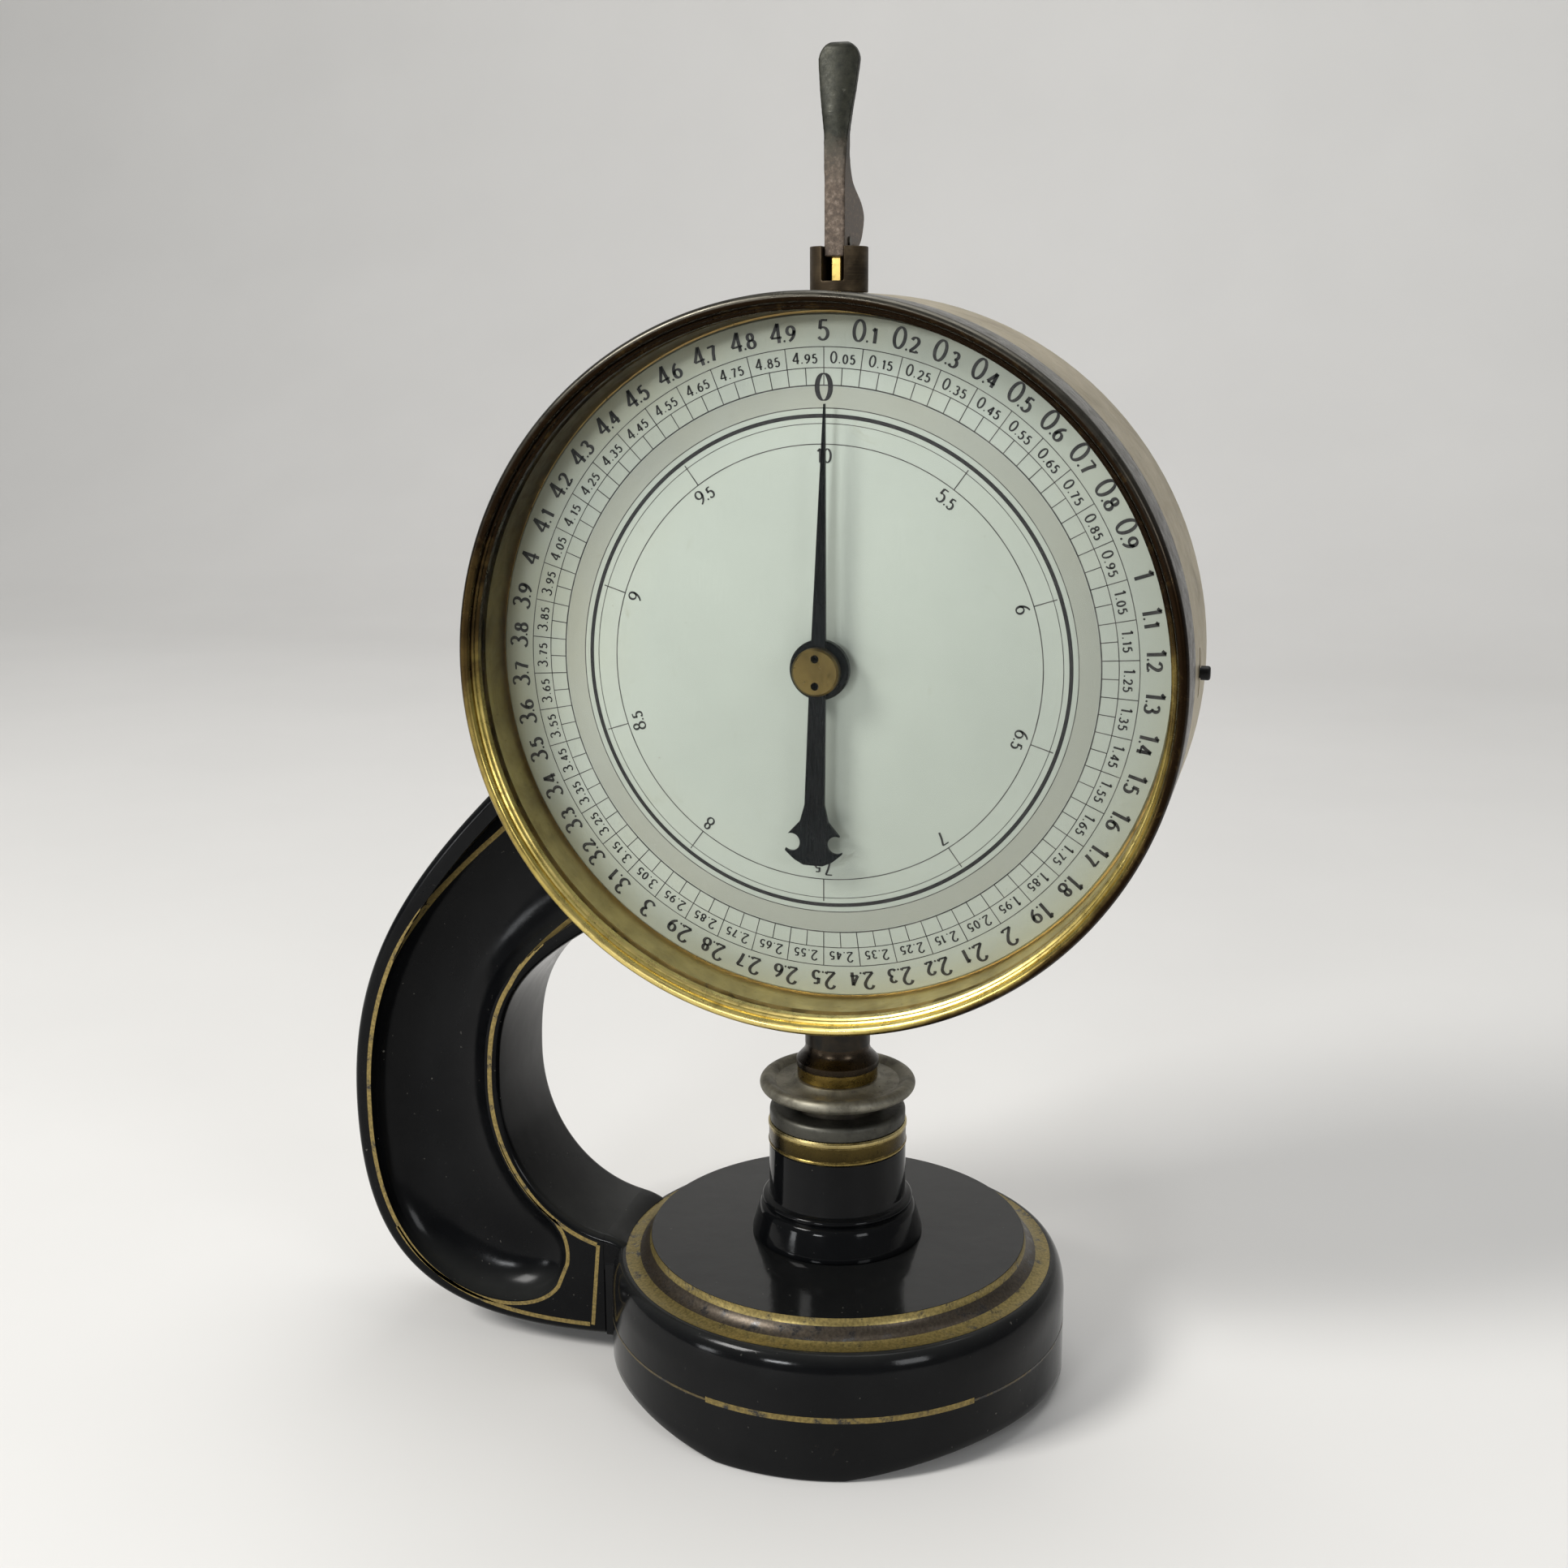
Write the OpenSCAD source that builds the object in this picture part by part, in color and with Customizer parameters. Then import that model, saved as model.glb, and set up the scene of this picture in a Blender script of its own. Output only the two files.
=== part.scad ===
// Bench dial thickness gauge: cast stand with a C-shaped arm, round dial case, sliding spindle
// with rack and gears, and a finger lever with a cam heel. Millimetres, +Z up, dial facing -Y.
// The origin is on the table, under the middle of the part's outline. The modules are drawn about
// the spindle's axis and moved there at the end.

/* [Base] */
// Radius of the base's skirt
base_r = 40.3; // [38:0.1:46]
// Height of the base's flat top above the table
base_h = 25.4; // [24:0.1:32]
// Height at which the skirt starts to round over
skirt_h = 15.5; // [12:0.1:17]
// Radius of the edge between shoulder and cove
shoulder_r = 37.9; // [36.5:0.1:38.5]
// Height of that edge
shoulder_h = 21.8; // [20:0.1:23]
// Radius of the base's flat top
plateau_r = 33; // [28:0.1:35]
// Wall of the hollow base
base_wall = 4.8; // [3:0.1:6]
// Height of the hollow under the base
hollow_h = 15; // [10:0.1:15.5]
// Rise of the arches between the three feet
arch_rise = 3.2; // [1:0.1:3.6]
// Half angle of a foot, in degrees
foot_half_angle = 16.5; // [8:0.5:25]

/* [Post and anvil] */
// Radius of the post
post_r = 12; // [11:0.1:14]
// Height of the post
post_h = 16.9; // [14:0.1:24]
// Radius of the post's flared foot
post_flare_r = 15; // [14.5:0.1:20]
// Height of the flare
post_flare_h = 7; // [3:0.1:9]
// Radius of the bead at the top of the flare
post_bead_r = 0.6; // [0.3:0.1:0.8]
// Height of the brass ring on the post
ring_h = 4.1; // [2:0.1:8]
// Radius of the anvil disc
anvil_r = 11.9; // [9:0.1:14]
// Thickness of the anvil disc
anvil_h = 2.7; // [2:0.1:6]
// Radius of the anvil's stem
anvil_stem_r = 5; // [3:0.1:7]
// Length of the anvil's stem
anvil_stem_h = 8; // [5:0.1:9]

/* [Spindle] */
// Radius of the measuring foot
foot_r = 8; // [5:0.1:11]
// Thickness of the measuring foot
foot_h = 2.9; // [1.5:0.1:6]
// Radius of the lifting flange
flange_r = 13.6; // [10:0.1:16]
// Thickness of the lifting flange
flange_h = 2.3; // [1.5:0.1:5]
// Radius of the brass hub on the flange
hub_r = 7.16; // [6.2:0.02:7.6]
// Height of the hub's straight part
hub_h = 3.7; // [2:0.1:8]
// Height of the hub's cone
hub_cone_h = 2.5; // [1:0.1:5]
// Radius of the spindle's neck
neck_r = 5.65; // [4.5:0.05:6]
// Length of neck that shows under the case at rest
neck_gap = 8.5; // [8:0.1:16]
// Length of neck inside the case at rest
neck_inside = 12.2; // [11:0.1:13]
// Radius of the spindle's flattened middle
stem_r = 4; // [3.5:0.05:4.2]
// Distance of the flat in front from the axis
stem_flat = 1.5; // [1.2:0.1:1.9]
// Lift of the spindle
travel = 10; // [6:0.5:10]
// Radius of the stud that holds foot, flange and hub
spindle_stud_r = 3; // [2:0.1:4]

/* [Case] */
// Outer radius of the case
case_r = 59; // [56:0.1:64]
// Wall of the case
case_wall = 2.8; // [2.8:0.1:4]
// Front of the bezel, before the spindle's axis
case_front = 21.5; // [21:0.1:26]
// Back of the case, behind the spindle's axis
case_rear = 15; // [14.5:0.1:20]
// Front face of the dial, before the spindle's axis
dial_front = 9.57; // [9.4:0.01:9.8]
// Bare width of the front slope of the bezel
bezel_lip = 2.8; // [1.5:0.1:2.8]
// Depth of the bezel's front slope
bezel_slope = 2.3; // [1:0.1:3]
// Length of the bezel's lip before the glass
lip_len = 0.9; // [0.5:0.1:2]
// Thickness of the glass
glass_t = 1.8; // [1:0.1:2]
// Width of the ring behind the glass
glass_ring_t = 1.2; // [0.8:0.1:1.5]
// Overlap of the bezel's skirt on the case
skirt_lap = 6.3; // [3:0.1:8]
// Wall of the bezel's skirt
bezel_skirt = 1.6; // [1.2:0.1:1.9]
// Thickness of the rear cover
back_t = 1.8; // [1:0.1:3]
// Width of the ledges inside the case
ledge_w = 4.5; // [4:0.1:6]
// Thickness of the ledges inside the case
ledge_t = 2.2; // [1.5:0.1:3]

/* [Dial and pointer] */
// Radial gap around the dial
dial_gap = 0.4; // [0.3:0.1:1.5]
// Thickness of the dial
dial_t = 1; // [0.6:0.1:1.2]
// Swing of the dial to each side for setting zero, in degrees
zero_swing = 3; // [1:0.5:5]
// Radius of the head of the zero stud
stud_head_r = 1.15; // [0.9:0.05:1.8]
// Reach of the zero stud outside the case
stud_reach = 1.7; // [1:0.1:4]
// Length of the pointer's needle
needle_len = 42; // [36:0.5:48]
// Width of the needle at the hub
needle_w = 2.4; // [1.5:0.1:3.5]
// Length of the pointer's tail
tail_len = 32.3; // [26:0.1:40]
// Width of the tail bar
tail_w = 3.3; // [2:0.1:4.5]
// Width of the fishtail
fish_w = 9.6; // [7:0.1:12]
// Radius of the fishtail's side notches
fish_notch_r = 1.5; // [0.8:0.1:1.8]
// Thickness of the pointer
pointer_t = 0.7; // [0.4:0.1:1]
// Gap between dial and pointer
pointer_gap = 3.3; // [2.6:0.1:3.4]
// Radius of the brass hub disc of the pointer
pointer_hub_r = 3.9; // [3:0.1:5]
// Thickness of the hub disc
pointer_hub_t = 1.8; // [1:0.1:2]
// Radius of the collar behind the pointer
collar_r = 4.9; // [4:0.1:6]
// Thickness of that collar
collar_t = 1.5; // [1:0.1:2]

/* [Works] */
// Pitch of the rack, which sets the pinion too
rack_pitch = 1; // [0.9:0.05:1.1]
// Teeth of the rack's pinion
rack_pinion_teeth = 20; // [18:1:22]
// Tooth size (module) of wheel and centre pinion
wheel_module = 0.4; // [0.38:0.01:0.42]
// Teeth of the wheel
wheel_teeth = 80; // [76:1:84]
// Teeth of the centre pinion
centre_teeth = 20; // [18:1:22]
// Play between meshing teeth
backlash = 0.12; // [0.08:0.01:0.16]
// Thickness of wheel and centre pinion
wheel_t = 1.6; // [1:0.1:1.8]
// Thickness of the movement plate
plate_t = 1.2; // [1:0.1:1.5]
// Thickness of the bridges
bridge_t = 1.5; // [1:0.1:1.6]
// Width of the bridges
bridge_w = 8; // [6:0.1:10]
// Radius of the pillars
pillar_r = 2.2; // [1.8:0.1:3]
// Half spread of the pillars of the centre bridge
centre_spread = 22; // [18:0.5:30]
// Half spread of the pillars of the back bridge
back_spread = 24; // [21:0.5:30]
// Radius of the arbors
arbor_r = 1.2; // [1:0.05:1.5]
// Wire of the return spring
spring_wire = 0.9; // [0.6:0.1:1.2]
// Mean radius of the return spring
spring_r = 4.6; // [3.6:0.1:6]
// Turns of the return spring
spring_turns = 8; // [5:1:9]
// Length of the return spring at rest
spring_len = 26; // [24:0.5:30]

/* [Arm] */
// Thickness of the arm, front to back
arm_t = 22; // [14:0.5:24]
// Distance of the arm's outermost edge from the spindle's axis
arm_reach = 88.4; // [84:0.1:96]
// Depth of the throat from the spindle's axis
throat_depth = 59.8; // [54:0.1:62]
// Height of the arm's underside above the table
arm_low = 4; // [3.8:0.1:6]
// Height of the arm where it meets the base
arm_foot_h = 19.5; // [16:0.1:20]
// Height of the arm's outermost point
arm_mid = 44; // [40:0.5:50]
// Depth of the channel in each face of the arm
groove_depth = 6.5; // [1:0.1:7]
// Plain edge outside the channel
rim_outer = 3.6; // [2.5:0.1:5]
// Plain edge on the throat's side of the channel
rim_inner = 2.4; // [2.2:0.1:5]
// Distance of the channel's round end from the base
groove_start = 8; // [4:0.5:14]
// Rounding of the arm's edges
arm_edge_r = 1.5; // [0.6:0.1:2]

/* [Lever] */
// Radius of the slotted boss on the case
boss_r = 4.65; // [4.4:0.05:6]
// Height of the boss above the case
boss_h = 7; // [7:0.1:12]
// Width of the slot in the boss
boss_slot = 3.6; // [3.5:0.05:4]
// Radius of the lifting rod
rod_r = 2; // [1.6:0.05:2.2]
// Thickness of the flat tongue on the rod
tongue_t = 1.5; // [1:0.1:1.7]
// Swing of the lever, in degrees
lever_swing = 90; // [80:1:100]
// Thickness of the lever's lower part
lever_t = 3.3; // [3:0.1:3.4]
// Height of the lever above its pin
lever_len = 30; // [26:0.5:40]
// Width of the finger rest
paddle_w = 6.6; // [4:0.1:9]
// Radius of the lever's pin
lever_pin_r = 0.7; // [0.5:0.05:0.9]

/* [Clearances] */
// Radial play of sliding and turning fits
running_fit = 0.03; // [0.02:0.01:0.05]
// Play of fixed pieces in their seats
seat_fit = 0.02; // [0.01:0.01:0.05]
// Gap between pieces that pass each other
pass_gap = 0.4; // [0.3:0.05:0.6]
// Gap between the closed measuring faces
closed_gap = 0.02; // [0.01:0.01:0.1]
// Gap between the cam heel and its seat
cam_gap = 0.12; // [0.08:0.01:0.2]

/* [Hidden] */
$fn = 96;
small_fn = 48;
eps = 0.01;

// Heights along the spindle
post_z = base_h;
ring_z = post_z + post_h;
anvil_z = ring_z + ring_h;
anvil_top = anvil_z + anvil_h;
foot_z = anvil_top + closed_gap;
flange_z = foot_z + foot_h;
hub_z = flange_z + flange_h;
neck_z = hub_z + hub_h + hub_cone_h;
case_z = neck_z + neck_gap;
neck_top = case_z + neck_inside;
dial_z = case_z + case_r;
case_top = dial_z + case_r;
bore_r = case_r - case_wall;

// Place of the spindle's axis, so that the origin is under the middle of the outline
axis_x = (arm_reach - case_r - stud_reach) / 2;

// Depths inside the case, along Y
dial_y = -dial_front;
dial_back_y = dial_y + dial_t;
plate_y = dial_back_y + running_fit * 2;
plate_back_y = plate_y + plate_t;
wheel_y = plate_back_y + pass_gap * 2.2;
wheel_back_y = wheel_y + wheel_t;
centre_bridge_y = wheel_back_y + pass_gap;
rear_ledge_y = case_rear - back_t - ledge_t;
back_bridge_y = rear_ledge_y - ledge_t - bridge_t - pass_gap * 2;
glass_y = -case_front + bezel_slope + lip_len;
glass_ring_y = glass_y + glass_t;
spigot_y = glass_ring_y + glass_ring_t;
skirt_end_y = spigot_y + skirt_lap;
bezel_bore = case_r - bezel_skirt;
lip_r = case_r - bezel_lip;
pointer_y = dial_y - pointer_gap - pointer_t;

// Gear train: the rack turns the wheel's arbor, the wheel turns the pointer's arbor
rack_module = rack_pitch / PI;
rack_pinion_r = rack_pinion_teeth * rack_module / 2;
wheel_r = wheel_teeth * wheel_module / 2;
centre_r = centre_teeth * wheel_module / 2;
rack_line = stem_r - 0.3;
wheel_x = -(rack_line + rack_pinion_r);
mesh_dist = wheel_r + centre_r;
wheel_z = dial_z - sqrt(mesh_dist * mesh_dist - wheel_x * wheel_x);
mesh_angle = atan2(dial_z - wheel_z, -wheel_x);
rack_seat = rack_line - 1.2;
rack_front_y = -stem_flat;
rack_w = stem_flat + 2;
rack_bottom = wheel_z - travel - 4 * rack_pitch;
rack_top = wheel_z + 4 * rack_pitch;
// Angle that the pointer shows at rest, with the foot a closed gap above the anvil
rest_angle = 360 * closed_gap / (rack_pitch * rack_pinion_teeth) * wheel_teeth / centre_teeth;

// Upper end of the spindle
spring_collar_t = 3;
spring_collar_r = spring_r + spring_wire / 2 + 0.6;
guide_flange_r = 6.5;
guide_flange_t = 2;
upper_guide_r = rod_r + 1.4;
guide_seat_z = dial_z + sqrt(bore_r * bore_r - guide_flange_r * guide_flange_r) - 0.1;
upper_guide_z = guide_seat_z - guide_flange_t - 3;
guide_in_boss = 1.4;
spring_top = guide_seat_z - guide_flange_t - 0.05;
spring_bottom = spring_top - spring_len;
collar_z = spring_bottom - spring_collar_t - 0.05;

// Lever with a cam heel: the heel is an involute, so that the lift follows the angle evenly
boss_top = case_top + boss_h;
cam_rate = travel / (lever_swing * PI / 180);
pin_above_seat = 0.75;
pin_z = boss_top + pin_above_seat;
tongue_root = pin_z - travel - 4;
lug_w = lever_t + 1.5;
lug_back = cam_rate + 1.3;
lever_front = -(rod_r + 1.2);
lever_drop = 2.4;
tongue_play = 0.1;

// Lower guide
lower_guide_r = neck_r + 1.35;
lower_guide_top = neck_top - 1.4;
lower_flange_r = lower_guide_r + 3;
lower_flange_z = dial_z - sqrt(bore_r * bore_r - lower_flange_r * lower_flange_r) + 0.1;
lower_mouth_z = dial_z - sqrt(case_r * case_r - lower_guide_r * lower_guide_r) + 0.05;

// Screws
screw_r = 1.5;
small_screw_r = 0.8;
arm_screw_r = 2;
arm_head_r = 3.4;
arm_head_t = 1.8;
arm_screw_grip = 7.5;
post_screw_r = 3;
post_head_r = 5.5;
post_head_t = 3.5;
post_screw_short = 2.5;
saddle_angles = [209, 221];
arm_screw_y = [-5.5, 5.5];
arm_screw_z = 10;
back_screw_angles = [45, 135, 225, 315];
plate_screw_angles = [60, 180, 300];

// Colours
black_enamel = [0.05, 0.05, 0.06];
brass = [0.72, 0.56, 0.25];
steel = [0.62, 0.62, 0.60];
dark_steel = [0.32, 0.30, 0.27];
blued = [0.08, 0.09, 0.13];
silvered = [0.80, 0.81, 0.76];
glass_tint = [0.85, 0.92, 0.92, 0.25];

// Helpers

function arc(c, rx, ry, a0, a1, n) =
    [for (i = [0:n]) let (a = a0 + (a1 - a0) * i / n) [c[0] + rx * cos(a), c[1] + ry * sin(a)]];

function polar(r, a) = [r * cos(a), r * sin(a)];

// A solid turned about the dial's axis, from points [radius, y]
module turned(points) {
    translate([0, 0, dial_z]) rotate([90, 0, 0]) rotate_extrude()
        polygon([for (p = points) [p[0], -p[1]]]);
}

// A rod along Y, centred on [x, z], from y0 to y1
module rod_y(r, y0, y1, x = 0, z = 0) {
    translate([x, y1, z]) rotate([90, 0, 0]) cylinder(r = r, h = y1 - y0, $fn = small_fn);
}

// A plate lying across Y, cut from a flat outline in X and Z
module slab_y(y0, y1) {
    translate([0, y1, 0]) rotate([90, 0, 0]) linear_extrude(height = y1 - y0) children();
}

// A screw along +Z with its head below z = 0
module screw(r, len, head_r, head_t) {
    cylinder(r = r, h = len, $fn = small_fn);
    difference() {
        translate([0, 0, -head_t]) cylinder(r = head_r, h = head_t, $fn = small_fn);
        translate([-head_r, -head_r * 0.12, -head_t - eps])
            cube([2 * head_r, head_r * 0.24, head_t * 0.4 + eps]);
    }
}

// Places a child, made along +Z, on a ray from the dial's axis
module on_ray(a, r, y) {
    translate([r * cos(a), y, dial_z + r * sin(a)]) rotate([0, 90 - a, 0]) children();
}

// Gear outline with involute flanks; a tooth stands at the phase angle
function involute(a) = tan(a) * 180 / PI - a;
function flank(rp, r) =
    let (rb = rp * cos(20)) involute(20) - involute(r > rb ? acos(rb / r) : 0);
function gear_points(n, m, phase) =
    let (rp = n * m / 2, root = rp - 1.25 * m, tip = rp + m)
    let (half = (PI * m - backlash) / (4 * rp) * 180 / PI)
    [for (k = [0:n - 1], s = [-1, 1], i = [0:2])
        let (r = [root, rp, tip][s < 0 ? i : 2 - i])
        polar(r, phase + k * 360 / n + s * (half + flank(rp, r)))];

// Stand

module base_profile() {
    inner_r = base_r - base_wall;
    polygon(concat(
        [[0, hollow_h], [inner_r, hollow_h], [inner_r, 0], [base_r - 0.8, 0], [base_r, 0.8]],
        arc([shoulder_r, skirt_h], base_r - shoulder_r, shoulder_h - skirt_h, 0, 90, 8),
        [for (i = [0:8]) let (a = 90 * i / 8)
            [shoulder_r - 0.6 - (shoulder_r - 0.6 - plateau_r) * sin(a),
             shoulder_h + (base_h - shoulder_h) * (1 - cos(a))]],
        [[0, base_h]]));
}

// Carries the arm's upper edge on to the rim of the moulding
module arm_nose() {
    difference() {
        rotate([90, 0, 0]) linear_extrude(2 * arm_nose_half, center = true)
            polygon([[-arm_seat_x, skirt_h], [-arm_seat_x, arm_nose_top],
                [2 - shoulder_r, shoulder_h - 0.4], [2 - shoulder_r, skirt_h]]);
        cylinder(r = shoulder_r - 0.3, h = base_h);
    }
}

module base_casting() {
    half_chord = base_r * sin(60 - foot_half_angle);
    arch_r = (half_chord * half_chord + arch_rise * arch_rise) / (2 * arch_rise);
    color(black_enamel) difference() {
        union() {
            rotate_extrude() base_profile();
            translate([-arm_seat_x, -arm_t / 2, arm_low])
                cube([arm_seat_depth, arm_t, arm_seat_top - arm_low]);
            arm_nose();
        }
        for (a = [-30, 90, 210]) rotate([0, 90, a]) translate([arch_r - arch_rise, 0, 0])
            cylinder(r = arch_r, h = base_r + base_wall, $fn = 192);
        translate([0, 0, hollow_h - eps]) cylinder(r = post_screw_r + 0.1, h = base_h, $fn = small_fn);
        for (y = arm_screw_y) translate([-arm_seat_x - eps, y, arm_screw_z]) rotate([0, 90, 0])
            cylinder(r = arm_screw_r + 0.1, h = arm_seat_depth + base_wall, $fn = small_fn);
        for (y = arm_screw_y) translate([arm_seat_depth - arm_seat_x, y, arm_screw_z]) rotate([0, 90, 0])
            cylinder(r = arm_head_r + pass_gap, h = base_wall, $fn = small_fn);
    }
}

// Arm: the outer and inner edges are curves between the base, the widest point and the case
arm_seat_x = base_r + 0.1;
arm_seat_depth = base_wall + 1;
arm_seat_top = (skirt_h + shoulder_h) / 2;
arm_nose_half = arm_t / 2 - 2 * arm_edge_r / 3;
arm_nose_top = arm_low + arm_foot_h - 0.25;
arm_end_r = case_r + 0.1;
arm_end_angles = [230, 200.4];
function bezier(p, t) =
    let (u = 1 - t) p[0] * u * u * u + p[1] * 3 * u * u * t + p[2] * 3 * u * t * t + p[3] * t * t * t;
function on_case(a) = [arm_end_r * cos(a), dial_z + arm_end_r * sin(a)];
outer_end = on_case(arm_end_angles[1]);
inner_end = on_case(arm_end_angles[0]);
throat_mid = arm_mid + 6;
outer_low = [[-arm_seat_x, arm_low], [-arm_seat_x - 36, arm_low - 2],
    [-arm_reach, arm_mid - 30], [-arm_reach, arm_mid]];
outer_high = [[-arm_reach, arm_mid], [-arm_reach, arm_mid + 26],
    outer_end + [-21.3, -20.7], outer_end];
inner_low = [[-arm_seat_x, arm_low + arm_foot_h], [-arm_seat_x - 11, arm_low + arm_foot_h + 2.1],
    [-throat_depth, throat_mid - 14], [-throat_depth, throat_mid]];
inner_high = [[-throat_depth, throat_mid], [-throat_depth, throat_mid + 17],
    inner_end + [-17, -10.4], inner_end];
function edge(low, high, s) = s < 0.5 ? bezier(low, 2 * s) : bezier(high, 2 * s - 1);
function outer_edge(s) = edge(outer_low, outer_high, s);
function inner_edge(s) = edge(inner_low, inner_high, s);

arm_steps = 44;
groove_cuts = [-1, -0.92, -0.75, -0.5, -0.25, 0, 0.25, 0.5, 0.75, 0.92, 1];
function mid_line(s) = (outer_edge(s) + inner_edge(s)) / 2;
function groove_run(s) = max(0, -mid_line(s)[0] - arm_seat_x - groove_start + max(0, s - 0.25) * 400);
function groove_half(s, full) =
    let (d = groove_run(s)) d >= full ? full : max(0.7, sqrt(max(0, full * full - (full - d) * (full - d))));

// One row across the front face: [distance from the inner edge, depth below the face]
function face_row(s) =
    let (w = norm(outer_edge(s) - inner_edge(s)), full = (w - rim_outer - rim_inner) / 2)
    let (mid = rim_inner + full, half = groove_half(s, full))
    concat([[0, arm_edge_r], [arm_edge_r * 0.3, arm_edge_r * 0.3], [arm_edge_r, 0]],
        [for (q = groove_cuts) [mid + q * half, groove_run(s) <= 0 ? 0 :
            groove_depth * half / full * sqrt(max(0, 1 - q * q))]],
        [[w - arm_edge_r, 0], [w - arm_edge_r * 0.3, arm_edge_r * 0.3], [w, arm_edge_r]]);

// A ring of points round the arm: the front row, then the back row in reverse
function arm_point(s, d, y) =
    let (i = inner_edge(s), o = outer_edge(s), f = d / norm(o - i))
    let (flat = i + (o - i) * f)
    let (round = on_case(arm_end_angles[0] + (arm_end_angles[1] - arm_end_angles[0]) * f))
    let (p = s < 1 ? flat : round) [p[0], y, p[1]];
function arm_ring(s) =
    let (row = face_row(s), n = len(row))
    concat([for (p = row) arm_point(s, p[0], -arm_t / 2 + p[1])],
        [for (k = [1:n]) let (p = row[n - k]) arm_point(s, p[0], arm_t / 2 - p[1])]);

module c_arm() {
    rings = [for (j = [0:arm_steps]) arm_ring(j / arm_steps)];
    m = len(rings[0]);
    half = m / 2;
    points = [for (r = rings, p = r) p];
    sides = [for (j = [0:arm_steps - 1], i = [0:m - 1])
        let (a = j * m + i, b = j * m + (i + 1) % m)
        each [[a, b, a + m], [b, b + m, a + m]]];
    caps = [for (e = [0, arm_steps], i = [0:half - 2])
        let (a = e * m + i, b = a + 1, d = e * m + m - 1 - i, c = d - 1)
        each (e == 0 ? [[a, c, b], [a, d, c]] : [[a, b, c], [a, c, d]])];
    color(black_enamel) difference() {
        polyhedron(points = points, faces = concat(sides, caps), convexity = 8);
        for (y = arm_screw_y) translate([-arm_seat_x - arm_screw_grip - 1.5, y, arm_screw_z]) rotate([0, 90, 0])
            cylinder(r = arm_screw_r + seat_fit, h = arm_screw_grip + 4.5, $fn = small_fn);
        for (a = saddle_angles) on_ray(a, arm_end_r - 2, 0)
            cylinder(r = arm_screw_r + seat_fit, h = 11, $fn = small_fn);
    }
}

module anvil_post() {
    bead_z = post_z + post_flare_h - post_bead_r;
    color(black_enamel) difference() {
        rotate_extrude() polygon(concat(
            [[0, post_z], [post_flare_r, post_z], [post_flare_r, post_z + 0.8],
             [post_r + 1.6, bead_z - post_bead_r - 0.4]],
            arc([post_r + post_bead_r, bead_z], post_bead_r, post_bead_r, -90, 90, 8),
            [[post_r, bead_z + post_bead_r + 0.3], [post_r, ring_z], [0, ring_z]]));
        translate([0, 0, ring_z - anvil_stem_h + ring_h - 0.3])
            cylinder(r = anvil_stem_r + seat_fit, h = anvil_stem_h);
        translate([0, 0, post_z - eps])
            cylinder(r = post_screw_r + seat_fit, h = post_h - anvil_stem_h + ring_h - 1, $fn = small_fn);
    }
}

module anvil_ring() {
    color(brass) rotate_extrude()
        polygon([[anvil_stem_r + seat_fit, ring_z], [post_r, ring_z], [post_r + 0.15, ring_z + 0.4],
            [post_r + 0.15, anvil_z - 0.4], [post_r, anvil_z], [anvil_stem_r + seat_fit, anvil_z]]);
}

module anvil() {
    color(dark_steel) rotate_extrude()
        polygon(concat([[0, anvil_z - anvil_stem_h], [anvil_stem_r, anvil_z - anvil_stem_h],
            [anvil_stem_r, anvil_z], [anvil_r - 0.4, anvil_z], [anvil_r, anvil_z + 0.4]],
            arc([anvil_r - 0.9, anvil_top - 0.9], 0.9, 0.9, 0, 90, 5), [[0, anvil_top]]));
}

module post_screw() {
    color(steel) translate([0, 0, hollow_h])
        screw(post_screw_r, base_h - hollow_h + post_h - anvil_stem_h + ring_h - post_screw_short,
            post_head_r, post_head_t);
}

module arm_base_screws() {
    color(steel) for (y = arm_screw_y) translate([arm_seat_depth - arm_seat_x, y, arm_screw_z])
        rotate([0, -90, 0]) screw(arm_screw_r, arm_seat_depth + arm_screw_grip, arm_head_r, arm_head_t);
}

module saddle_screws() {
    head_r = 3;
    seat = sqrt(bore_r * bore_r - head_r * head_r) - 0.1;
    color(steel) for (a = saddle_angles) on_ray(a, seat, 0)
        screw(arm_screw_r, case_r - seat + 8, head_r - 0.4, 1.6);
}

// Case

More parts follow.
